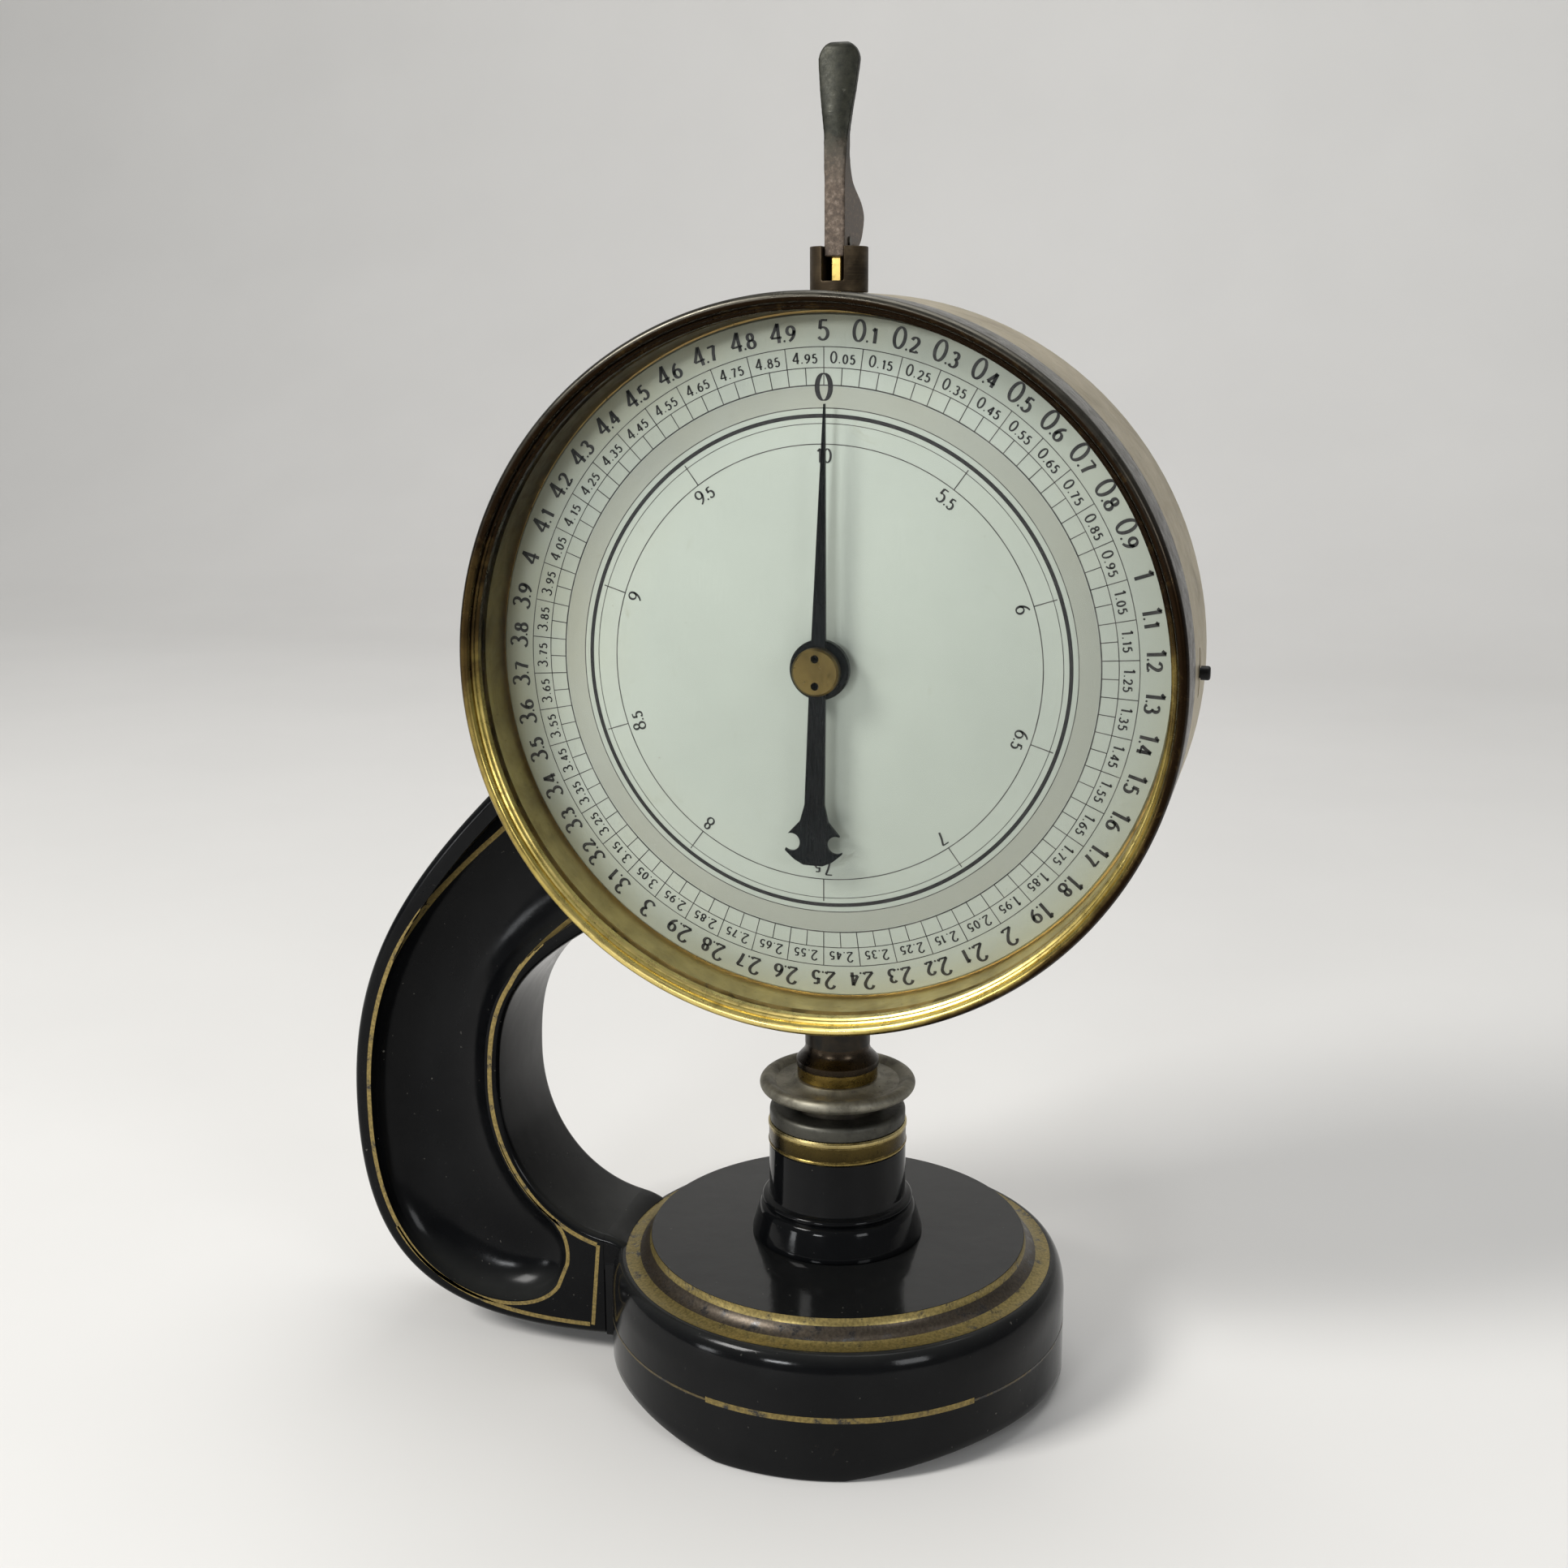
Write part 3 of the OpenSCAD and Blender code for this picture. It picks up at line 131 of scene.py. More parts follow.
def lathe(name, profile, material, axis="z", steps=192):
    """A turned piece. Profile points are (radius, height), or (radius, y) about the dial's axis."""
    verts = []
    for k in range(steps):
        a = 2 * pi * k / steps
        for r, h in profile:
            if axis == "z":
                verts.append((r * cos(a), r * sin(a), h))
            else:
                verts.append((r * sin(a), h, DZ + r * cos(a)))
    obj = add_mesh(name, verts, quads(steps, len(profile)), material, sharp=None)
    fix_normals(obj, weld=True)
    shade(obj, 32)
    return obj


def sweep(a0, a1, n):
    """Angles in radians, in n steps from one in degrees to another."""
    return [radians(a0 + (a1 - a0) * i / n) for i in range(n + 1)]


def arc(cx, cy, rx, ry, a0, a1, n):
    """Points along an ellipse."""
    return [(cx + rx * cos(a), cy + ry * sin(a)) for a in sweep(a0, a1, n)]


def steps_at(height, *steps, radius=0.0):
    """Profile points counted from a height and a radius."""
    return [(radius + r, height + h) for r, h in steps]


def rounded(points, radius, steps):
    """A closed outline with its corners rounded."""
    out = []
    for i, corner in enumerate(points):
        p = Vector(corner)
        before, after = Vector(points[i - 1]) - p, Vector(points[(i + 1) % len(points)]) - p
        s, e = p + before.normalized() * radius, p + after.normalized() * radius
        for k in range(steps + 1):
            t = k / steps
            q = s * (1 - t) ** 2 + p * 2 * t * (1 - t) + e * t * t
            out.append((q.x, q.y))
    return out


def ease(value, low, high):
    t = min(max((value - low) / (high - low), 0.0), 1.0)
    return t * t * (3 - 2 * t)


def shaded(colour, share):
    return tuple(c * share for c in colour)


# Materials

class Mat:
    """A node material. Texture coordinates are in millimetres, in the piece's own space."""

    def __init__(self, name):
        self.mat = bpy.data.materials.new(name)
        self.mat.use_nodes = True
        self.tree = self.mat.node_tree
        self.tree.nodes.clear()
        self.bsdf = self.node("BsdfPrincipled")
        self.link(self.bsdf.outputs[0], self.node("OutputMaterial").inputs[0])
        self.mm = self.stretch((1 / MM,) * 3, self.node("TexCoord").outputs["Object"])
        self.x, self.y, self.z = self.split(self.mm)

    def node(self, kind):
        return self.tree.nodes.new("ShaderNode" + kind)

    def link(self, a, b):
        self.tree.links.new(a, b)

    def put(self, socket, value):
        if isinstance(value, bpy.types.NodeSocket):
            self.link(value, socket)
        elif socket.type == "RGBA":
            socket.default_value = (*value, 1)
        else:
            socket.default_value = value

    def set(self, **values):
        for key, value in values.items():
            self.put(self.bsdf.inputs[key.replace("_", " ")], value)

    def math(self, op, a, b=0.0, clamp=False):
        node = self.node("Math")
        node.operation = op
        node.use_clamp = clamp
        self.put(node.inputs[0], a)
        self.put(node.inputs[1], b)
        return node.outputs[0]

    def times(self, a, b, clamp=False):
        return self.math("MULTIPLY", a, b, clamp)

    def plus(self, a, b, clamp=False):
        return self.math("ADD", a, b, clamp)

    def minus(self, a, b):
        return self.math("SUBTRACT", a, b)

    def stretch(self, factors, vector=None):
        node = self.node("VectorMath")
        node.operation = "MULTIPLY"
        self.link(vector or self.mm, node.inputs[0])
        node.inputs[1].default_value = factors
        return node.outputs[0]

    def split(self, vector):
        node = self.node("SeparateXYZ")
        self.link(vector, node.inputs[0])
        return tuple(node.outputs)

    def noise(self, scale, detail, rough, vector=None, distortion=0.0):
        node = self.node("TexNoise")
        self.link(vector or self.mm, node.inputs["Vector"])
        node.inputs["Scale"].default_value = scale
        node.inputs["Detail"].default_value = detail
        node.inputs["Roughness"].default_value = rough
        node.inputs["Distortion"].default_value = distortion
        return node.outputs["Fac"]

    def line_noise(self, value, scale):
        node = self.node("TexNoise")
        node.noise_dimensions = "1D"
        self.link(value, node.inputs["W"])
        node.inputs["Scale"].default_value = scale
        node.inputs["Detail"].default_value = 4
        return node.outputs["Fac"]

    def radius(self, axis):
        """Distance from the spindle's axis (z) or from the dial's axis (y)."""
        u = self.minus(self.x, AX)
        v = self.y if axis == "z" else self.minus(self.z, DZ)
        return self.math("SQRT", self.plus(self.times(u, u), self.times(v, v)))

    def up(self):
        return self.split(self.node("NewGeometry").outputs["Normal"])[2]

    def ramp(self, value, *stops):
        node = self.node("ValToRGB")
        self.link(value, node.inputs[0])
        elements = node.color_ramp.elements
        while len(elements) < len(stops):
            elements.new(0.5)
        for element, (place, colour) in zip(elements, stops):
            element.position = place
            element.color = (*colour, 1)
        return node.outputs[0]

    def span(self, value, a, b, lo=0.0, hi=1.0):
        node = self.node("MapRange")
        self.put(node.inputs["Value"], value)
        for key, v in (("From Min", a), ("From Max", b), ("To Min", lo), ("To Max", hi)):
            node.inputs[key].default_value = v
        return node.outputs[0]

    def mix(self, factor, a, b):
        node = self.node("Mix")
        node.data_type = "RGBA"
        self.put(node.inputs[0], factor)
        self.put(node.inputs[6], a)
        self.put(node.inputs[7], b)
        return node.outputs[2]

    def bump(self, height, strength, distance, normal=None):
        node = self.node("Bump")
        node.inputs["Strength"].default_value = strength
        node.inputs["Distance"].default_value = distance
        self.link(height, node.inputs["Height"])
        if normal is not None:
            self.link(normal, node.inputs["Normal"])
        return node.outputs[0]

    def turned(self, grain, depth, scale=1.3, pits=0.05):
        """A normal with turning lines and a faint unevenness."""
        return self.bump(self.noise(scale, 4, 0.6), pits, 0.00015, self.bump(grain, depth, 0.0001))

    def uneven(self, scale, rough, spots=0.0, share=0.0):
        """Roughness that drifts between two values and is greater on spots."""
        drift = self.span(self.noise(scale, 4, 0.6), 0.3, 0.75, *rough)
        return self.plus(drift, self.times(spots, share), clamp=True) if share else drift


def enamel(name, dust_and_top_light, gloss, level=0.2):
    """Old black stove enamel: glossy, uneven, with dust and painted light greying its top faces, specks and
    small chips.
    """
    m = Mat(name)
    cloud = m.noise(0.07, 5, 0.6)
    colour = m.ramp(cloud, (0.3, (0.0016, 0.0018, 0.0022)), (0.72, (0.0042, 0.0044, 0.0048)))
    # Grey on top faces: dust, and painted light from above
    dusty_lit_tops = m.times(m.span(m.up(), 0.35, 0.98), m.span(m.noise(0.12, 5, 0.6), 0.3, 0.75, 0.62, 1.0))
    dusty_lit_tops = m.times(dusty_lit_tops, dust_and_top_light, clamp=True)
    colour = m.mix(dusty_lit_tops, colour, (0.050, 0.051, 0.048))
    speck = m.span(m.noise(1.15, 2, 0.5), 0.735, 0.775)
    speck = m.times(speck, m.span(m.noise(0.05, 3, 0.5), 0.36, 0.60), clamp=True)
    colour = m.mix(speck, colour, (0.085, 0.082, 0.072))
    chip = m.span(m.noise(0.42, 4, 0.7), 0.715, 0.735)
    colour = m.mix(m.times(chip, 0.5), colour, (0.020, 0.017, 0.014))
    rough = m.plus(m.span(m.noise(0.3, 5, 0.6), 0.3, 0.8, gloss, gloss + 0.10), m.times(dusty_lit_tops, 0.16))
    rough = m.plus(rough, m.times(speck, 0.4), clamp=True)
    wave = m.bump(m.noise(0.22, 2, 0.4), 0.10, 0.0004)
    fine = m.bump(m.noise(1.6, 3, 0.6), 0.03, 0.0002, wave)
    m.set(Base_Color=colour, Roughness=rough, Normal=fine, IOR=1.5, Specular_IOR_Level=level)
    return m.mat


def gilding(name, wear, tint, scale=0.35, rough=0.44):
    """Bronze-gold paint line, rubbed through to the black in places."""
    m = Mat(name)
    worn = m.span(m.noise(scale, 6, 0.72), wear - 0.06, wear + 0.06)
    fleck = m.span(m.noise(2.1, 3, 0.6), 0.35, 0.7)
    gold = m.mix(fleck, shaded(tint, 0.52), tint)
    colour = m.mix(worn, (0.007, 0.007, 0.0075), gold)
    m.set(Base_Color=colour, Metallic=m.span(worn, 0, 1, 0.0, 0.75))
    m.set(Roughness=m.span(worn, 0, 1, 0.2, rough), Normal=m.bump(m.noise(2.4, 3, 0.6), 0.08, 0.0001))
    return m.mat


def brass(name, bright, dark=(0.115, 0.072, 0.030), tarnish=0.5, axis="y", rough=(0.24, 0.46), lines=0.5):
    """Lacquered brass that has browned: clouds of tarnish, dark spots, turning lines."""
    m = Mat(name)
    cloud = m.noise(0.085, 6, 0.62, distortion=0.6)
    spot = m.span(m.noise(0.9, 4, 0.65), 0.60, 0.74)
    place = m.span(cloud, 0.66 - 0.42 * tarnish, 0.92 - 0.42 * tarnish)
    colour = m.mix(place, bright, dark)
    colour = m.mix(m.times(spot, 0.55), colour, shaded(dark, 0.55))
    turn = m.line_noise(m.radius(axis), 5.0)
    along = m.line_noise(m.y if axis == "y" else m.z, 4.0)
    grain = m.plus(m.times(turn, 0.5), m.times(along, 0.5))
    colour = m.mix(m.span(grain, 0.35, 0.65, 0.0, 0.25), colour, shaded(bright, 1.25))
    m.set(Base_Color=colour, Metallic=1.0, Roughness=m.uneven(0.5, rough, place, 0.12))
    m.set(Normal=m.turned(grain, 0.05 * lines))
    return m.mat


def steel(name, bright, dark=(0.105, 0.095, 0.075), stain=0.5, axis="z", rough=(0.30, 0.5)):
    """Turned steel with a grey-brown skin of age."""
    m = Mat(name)
    place = m.span(m.noise(0.21, 6, 0.65, distortion=0.4), 0.62 - 0.4 * stain, 0.86 - 0.4 * stain)
    colour = m.mix(place, bright, dark)
    pit = m.span(m.noise(1.9, 3, 0.6), 0.64, 0.72)
    colour = m.mix(m.times(pit, 0.6), colour, (0.035, 0.026, 0.018))
    turn = m.line_noise(m.radius(axis), 7.0)
    m.set(Base_Color=colour, Metallic=m.span(place, 0, 1, 0.95, 0.75))
    m.set(Roughness=m.uneven(0.6, rough, pit, 0.2), Normal=m.turned(turn, 0.035, 1.5, 0.06))
    return m.mat


def banded(name, bands, rough):
    """Turned brass whose colour changes with height. Bands hold (height in mm, colour)."""
    m = Mat(name)
    lo, hi = bands[0][0], bands[-1][0]
    place = m.span(m.plus(m.z, m.span(m.noise(0.8, 3, 0.6), 0.3, 0.7, -0.12, 0.12)), lo, hi)
    colour = m.ramp(place, *[((v - lo) / (hi - lo), c) for v, c in bands])
    cloud = m.span(m.noise(0.16, 5, 0.65, distortion=0.5), 0.42, 0.68)
    colour = m.mix(m.times(cloud, 0.35), colour, (0.020, 0.015, 0.010))
    dot = m.span(m.noise(1.5, 4, 0.65), 0.58, 0.72)
    colour = m.mix(m.times(dot, 0.5), colour, (0.016, 0.012, 0.008))
    m.set(Base_Color=colour, Metallic=1.0, Roughness=m.uneven(0.6, rough, dot, 0.2))
    m.set(Normal=m.turned(m.line_noise(m.radius("z"), 6.0), 0.04, 1.4))
    return m.mat


def bezel_brass(name):
    """Brass ring with painted light: bright along its lower edge, painted shade at the top, a painted dark
    reflection along its outer edge on the right, and a painted grey highlight on its rim at the top.
    """
    m = Mat(name)
    r = m.radius("y")
    u = m.math("DIVIDE", m.minus(m.x, AX), CASE_R)
    v = m.math("DIVIDE", m.minus(m.z, DZ), CASE_R)
    # Painted light: brighter towards the bottom, painted shade towards the top
    light = m.minus(m.times(v, -1.0), m.times(u, 0.06))
    light = m.plus(light, m.span(m.noise(0.07, 5, 0.6, distortion=0.6), 0.3, 0.7, -0.28, 0.28))
    # Painted light on the inner lip, and a painted dark reflection along the outer edge on the right
    inner = m.times(m.span(r, CASE_R - 2.8, CASE_R, 0.22, -0.30), m.span(light, -0.2, 0.5))
    rim = m.times(m.span(r, CASE_R - 1.9, CASE_R - 0.6, 0.0, 0.9), m.span(u, -0.1, 0.45))
    light = m.span(m.minus(m.plus(light, inner), rim), -0.32, 0.76)
    colour = m.ramp(light, (0.0, (0.014, 0.008, 0.004)), (0.32, (0.085, 0.056, 0.019)),
                    (0.72, (0.43, 0.33, 0.095)), (1.0, (0.68, 0.54, 0.19)))
    stain = m.span(m.noise(0.34, 6, 0.7, distortion=0.7), 0.56, 0.74)
    colour = m.mix(m.times(stain, 0.6), colour, (0.085, 0.054, 0.018))
    dot = m.span(m.noise(1.2, 4, 0.7), 0.63, 0.73)
    colour = m.mix(m.times(dot, 0.75), colour, (0.030, 0.020, 0.010))
    # Painted highlight: a grey strip on the rim at the top
    painted_rim_highlight = m.times(m.span(r, CASE_R - 1.1, CASE_R - 0.7), m.span(v, 0.25, 0.75, 0.0, 0.9))
    colour = m.mix(painted_rim_highlight, colour, (0.088, 0.083, 0.068))
    m.set(Base_Color=colour, Metallic=1.0, Roughness=m.uneven(0.5, (0.22, 0.40), stain, 0.12))
    m.set(Normal=m.turned(m.line_noise(r, 5.0), 0.05))
    return m.mat


def drum_brass(name):
    """Case: tarnished outside; inside, painted light: bright brass at the bottom, where the dial is seen
    against it, and painted shade towards the top.
    """
    m = Mat(name)
    cloud = m.noise(0.085, 6, 0.62, distortion=0.6)
    outside = m.ramp(cloud, (0.32, (0.53, 0.465, 0.335)), (0.58, (0.43, 0.372, 0.255)),
                     (0.80, (0.21, 0.16, 0.092)))
    bright = m.ramp(cloud, (0.35, (0.66, 0.54, 0.23)), (0.62, (0.46, 0.36, 0.14)),
                    (0.80, (0.22, 0.16, 0.06)))
    # Painted light inside: bright at the bottom, painted shade towards the top
    light_height = m.plus(m.z, m.span(cloud, 0.3, 0.7, -6.0, 6.0))
    inside = m.mix(m.span(light_height, DZ - 0.6 * CASE_R, DZ + 0.5 * CASE_R), bright, (0.085, 0.060, 0.026))
    colour = m.mix(m.span(m.radius("y"), CASE_R - 2.6, CASE_R - 1.6), inside, outside)
    dot = m.span(m.noise(1.1, 4, 0.65), 0.62, 0.74)
    colour = m.mix(m.times(dot, 0.5), colour, (0.05, 0.036, 0.02))
    m.set(Base_Color=colour, Metallic=1.0, Roughness=m.uneven(0.5, (0.36, 0.52)))
    m.set(Normal=m.turned(m.line_noise(m.y, 4.0), 0.04))
    return m.mat


def silvering(name, tone, ring=False):
    """Matt silvered dial: fine grain, yellowing towards the rim, small stains, painted shade towards the
    right and bottom, and a painted shadow of the bezel along the upper-left rim.
    """
    m = Mat(name)
    r = m.radius("y")
    cloud = m.noise(0.045, 5, 0.6)
    warm = m.times(m.span(r, 30, 56), m.span(cloud, 0.35, 0.65), clamp=True)
    colour = m.mix(warm, tone, (tone[0] * 0.97, tone[1] * 0.92, tone[2] * 0.80))
    stain = m.span(m.noise(0.11, 6, 0.7, distortion=0.8), 0.63, 0.80)
    colour = m.mix(m.times(stain, 0.45), colour, (tone[0] * 0.66, tone[1] * 0.58, tone[2] * 0.42))
    # Painted shade: the dial darker towards the right and the bottom
    shade_slope = m.minus(m.times(m.x, 0.8), m.times(m.z, 0.45))
    shade_slope = m.plus(shade_slope, m.span(m.noise(0.03, 3, 0.5), 0.32, 0.68, -22.0, 22.0))
    middle = 0.8 * AX - 0.45 * DZ
    colour = m.mix(m.span(shade_slope, middle - 34, middle + 34, 0.0, 0.85), colour, shaded(tone, 0.80))
    # Painted shadow of the bezel, darkest along the upper-left rim
    shadow_slant = m.minus(m.times(m.z, 0.65), m.times(m.x, 0.75))
    side = 0.65 * DZ - 0.75 * AX
    edge = m.times(m.span(r, 48.0, 55.5), m.span(shadow_slant, side - 12, side + 42, 0.08, 0.72))
    colour = m.mix(edge, colour, (tone[0] * 0.30, tone[1] * 0.26, tone[2] * 0.18))
    grain = m.line_noise(r, 6.0) if ring else m.noise(1.0, 4, 0.6, m.stretch((5.0, 5.0, 0.35)))
    colour = m.mix(m.span(grain, 0.35, 0.65, 0.0, 0.12), colour, shaded(tone, 0.82))
    dot = m.span(m.noise(1.7, 3, 0.6), 0.70, 0.76)
    colour = m.mix(m.times(dot, 0.35), colour, (0.20, 0.17, 0.12))
    m.set(Base_Color=colour, Metallic=0.35, Roughness=m.span(grain, 0.3, 0.7, 0.36, 0.50))
    m.set(Normal=m.bump(grain, 0.03, 0.0001))
    return m.mat


def ink(name, tone, fade):
    """Wax-filled engraving, a little faded."""
    m = Mat(name)
    colour = m.ramp(m.noise(0.35, 4, 0.6), (0.42, tone), (0.80, fade))
    m.set(Base_Color=colour, Roughness=m.span(m.noise(1.2, 3, 0.5), 0.3, 0.7, 0.4, 0.65))
    return m.mat


def blued(name):
    """Blue-black polished steel hand."""
    m = Mat(name)
    shade_of_blue = m.noise(0.12, 4, 0.55)
    colour = m.ramp(shade_of_blue, (0.35, (0.0016, 0.0022, 0.0026)), (0.75, (0.0034, 0.0048, 0.0054)))
    scratch = m.noise(1.0, 3, 0.6, m.stretch((4.0, 4.0, 0.25)))
    m.set(Base_Color=colour, Specular_IOR_Level=0.12, Roughness=m.span(scratch, 0.3, 0.7, 0.2, 0.34))
    m.set(Normal=m.bump(scratch, 0.02, 0.0001))
    return m.mat


def patina(name, low, high):
    """Worn lever: dark olive skin above, brown-pink speckled metal below."""
    m = Mat(name)
    height = m.span(m.plus(m.z, m.times(m.noise(0.35, 4, 0.6), 6.0)), low, high)
    speck = m.noise(1.35, 5, 0.7)
    below = m.ramp(speck, (0.34, (0.045, 0.032, 0.023)), (0.52, (0.110, 0.082, 0.060)),
                   (0.70, (0.25, 0.20, 0.16)))
    above = m.ramp(m.noise(0.8, 5, 0.65), (0.3, (0.010, 0.011, 0.007)), (0.72, (0.034, 0.034, 0.023)))
    colour = m.mix(height, below, above)
    m.set(Base_Color=colour, Metallic=0.55, Roughness=m.span(speck, 0.3, 0.7, 0.36, 0.58))
    m.set(Normal=m.bump(speck, 0.12, 0.0002))
    return m.mat


def clear_glass(name):
    """Thin cover glass with a trace of haze."""
    m = Mat(name)
    haze = m.noise(0.06, 4, 0.6)
    colour = m.ramp(haze, (0.3, (0.20, 0.22, 0.21)), (0.7, (0.30, 0.33, 0.32)))
    m.set(Base_Color=colour, Roughness=0.04, IOR=1.5, Alpha=m.span(haze, 0.3, 0.7, 0.006, 0.014))
    m.mat.surface_render_method = "BLENDED"
    return m.mat


def plain(name, colour, rough):
    m = Mat(name)
    tone = m.ramp(m.noise(0.01, 3, 0.5), (0.3, shaded(colour, 0.97)), (0.7, colour))
    m.set(Base_Color=tone, Roughness=rough)
    return m.mat


ENAMEL_BASE = enamel("enamel_base", dust_and_top_light=0.42, gloss=0.08, level=0.15)
ENAMEL_TOP = enamel("enamel_top", dust_and_top_light=0.14, gloss=0.05, level=0.36)
ENAMEL_ARM = enamel("enamel_arm", dust_and_top_light=0.5, gloss=0.12, level=0.10)
ENAMEL_POST = enamel("enamel_post", dust_and_top_light=0.05, gloss=0.05, level=0.13)
ENAMEL_STUD = enamel("enamel_stud", dust_and_top_light=0.2, gloss=0.3)
GOLD_LINE = gilding("gold_line", wear=0.40, tint=(0.33, 0.245, 0.085))
GOLD_SKIRT = gilding("gold_skirt", wear=0.44, tint=(0.30, 0.225, 0.078), scale=0.3)
GOLD_FAINT = gilding("gold_faint", wear=0.47, tint=(0.15, 0.115, 0.055), scale=0.2)
GOLD_COVE = gilding("gold_cove", wear=0.40, tint=(0.34, 0.265, 0.095), scale=0.33, rough=0.36)
COVE_BROWN = gilding("cove_brown", wear=0.42, tint=(0.085, 0.068, 0.050), scale=0.3, rough=0.36)
BRASS_BEZEL = bezel_brass("brass_bezel")
BRASS_DRUM = drum_brass("brass_drum")
BRASS_BACK = brass("brass_back", bright=(0.40, 0.325, 0.175), dark=(0.25, 0.195, 0.095),
                   tarnish=0.45, rough=(0.34, 0.5))
BRASS_WORKS = brass("brass_works", bright=(0.62, 0.45, 0.17), tarnish=0.20)
BRASS_HUB = brass("brass_hub", bright=(0.15, 0.11, 0.038), dark=(0.034, 0.024, 0.011),
                  tarnish=0.55, lines=1.5)
# Anvil ring: painted highlights as bright bands along its lower and upper edges, darker between
BRASS_RING_HIGHLIGHTS = banded("brass_ring_highlights", [
    (RING[0][2], (0.40, 0.30, 0.10)), (RING[0][2] + 0.45, (0.24, 0.175, 0.055)),
    (RING[0][2] + 0.75, (0.040, 0.029, 0.010)), (RING[1][2] - 1.2, (0.075, 0.054, 0.017)),
    (RING[1][2] - 0.75, (0.34, 0.26, 0.10)), (RING[1][2], (0.62, 0.52, 0.25))], rough=(0.2, 0.36))
BRASS_COLLAR = banded("brass_collar", [
    (HUB[0][2], (0.34, 0.235, 0.062)), (HUB[0][2] + 1.9, (0.30, 0.205, 0.055)),
    (HUB[0][2] + 2.25, (0.028, 0.021, 0.014)), (HUB[1][2], (0.040, 0.030, 0.021))], rough=(0.2, 0.38))
BRONZE_BOSS = brass("bronze_boss", bright=(0.115, 0.085, 0.052), dark=(0.026, 0.020, 0.014),
                    tarnish=0.66, axis="z", rough=(0.34, 0.55))
BRASS_ROD = brass("brass_rod", bright=(0.62, 0.44, 0.13), dark=(0.20, 0.13, 0.05), tarnish=0.30, axis="z")
STEEL_NECK = steel("steel_neck", bright=(0.036, 0.029, 0.021), dark=(0.012, 0.011, 0.009), stain=0.6)
STEEL_FLANGE = steel("steel_flange", bright=(0.27, 0.255, 0.205), dark=(0.115, 0.107, 0.083),
                     rough=(0.44, 0.62))
STEEL_ANVIL = steel("steel_anvil", bright=(0.082, 0.080, 0.068), dark=(0.032, 0.031, 0.026),
                    rough=(0.4, 0.58))
STEEL_FOOT = steel("steel_foot", bright=(0.10, 0.09, 0.07), dark=(0.035, 0.03, 0.024))
STEEL_SCREW = steel("steel_screw", bright=(0.40, 0.39, 0.36), stain=0.25, axis="y", rough=(0.22, 0.4))
SILVER = silvering("silver_dial", tone=(0.455, 0.505, 0.440))
SILVER_RING = silvering("silver_ring", tone=(0.365, 0.390, 0.332), ring=True)
INK = ink("ink_numerals", tone=(0.006, 0.006, 0.006), fade=(0.035, 0.034, 0.030))
INK_LINE = ink("ink_lines", tone=(0.030, 0.029, 0.026), fade=(0.15, 0.145, 0.13))
INK_BOLD = ink("ink_bold", tone=(0.002, 0.002, 0.002), fade=(0.008, 0.008, 0.008))
BLUED = blued("blued_hand")
LEVER = patina("lever_patina", 206, 214)
GLASS = clear_glass("cover_glass")

FINISH = {
    "movement_plate pillars centre_bridge back_bridge lower_guide upper_guide spring_collar "
    "rack_pinion drive_wheel centre_pinion": BRASS_WORKS,
    "back_screws movement_screws bridge_screws post_screw arm_base_screws saddle_screws "
    "return_spring rack wheel_arbor centre_arbor": STEEL_SCREW,
    "case_drum glass_ring": BRASS_DRUM, "case_back": BRASS_BACK, "bezel": BRASS_BEZEL, "glass": GLASS,
    "dial_plate": SILVER, "pointer pointer_collar": BLUED, "pointer_hub": BRASS_HUB,
    "spindle": STEEL_NECK, "measuring_foot lever_pin": STEEL_FOOT, "foot_flange": STEEL_FLANGE,
    "foot_hub": BRASS_COLLAR, "zero_stud": ENAMEL_STUD, "lift_rod": BRASS_ROD, "lift_boss": BRONZE_BOSS,
    "lift_lever": LEVER, "anvil": STEEL_ANVIL, "anvil_ring": BRASS_RING_HIGHLIGHTS, "anvil_post": ENAMEL_POST,
    "base_casting": ENAMEL_BASE, "c_arm": ENAMEL_ARM,
}
for names, material in FINISH.items():
    for name in names.split():
        mesh = NODES[name].data
        mesh.materials.clear()
        mesh.materials.append(material)


# Base: a turned shell whose lower edge rises in three arches, with a flat lug for the arm

BASE_R, BASE_H = 40.3, 25.4
SKIRT_R = BASE_R - 0.06
SKIRT_H, SHOULDER_R, SHOULDER_H, PLATEAU_R = 15.5, 37.9, 21.8, 33.0
COVE_R = SHOULDER_R - 0.6
BASE_WALL, HOLLOW_H, BORE_R = 4.8, 15.0, 4.0
ARCHES, ARCH_RISE, ARCH_FADE, FOOT_HALF = (-30, 90, 210), 3.2, SKIRT_H * 0.5, 16.5
HALF_CHORD = BASE_R * sin(radians(60 - FOOT_HALF))
ARCH_R = (HALF_CHORD ** 2 + ARCH_RISE ** 2) / (2 * ARCH_RISE)
ARM_SEAT = BASE_R + 0.1


def arch_height(angle, r):
    """Height of the base's lower edge at an angle in degrees."""
    best = 0.0
    for middle in ARCHES:
        d = (angle - middle + 180) % 360 - 180
        if abs(d) < 60:
            u = r * sin(radians(d))
            best = max(best, ARCH_RISE - ARCH_R + sqrt(ARCH_R ** 2 - u * u))
    return best


def cove_points(a0, a1, n=10):
    """Points along the hollow moulding between shoulder and plateau."""
    depth, rise = COVE_R - PLATEAU_R, BASE_H - SHOULDER_H
    return [(COVE_R - depth * sin(a), SHOULDER_H + rise * (1 - cos(a))) for a in sweep(a0, a1, n)]


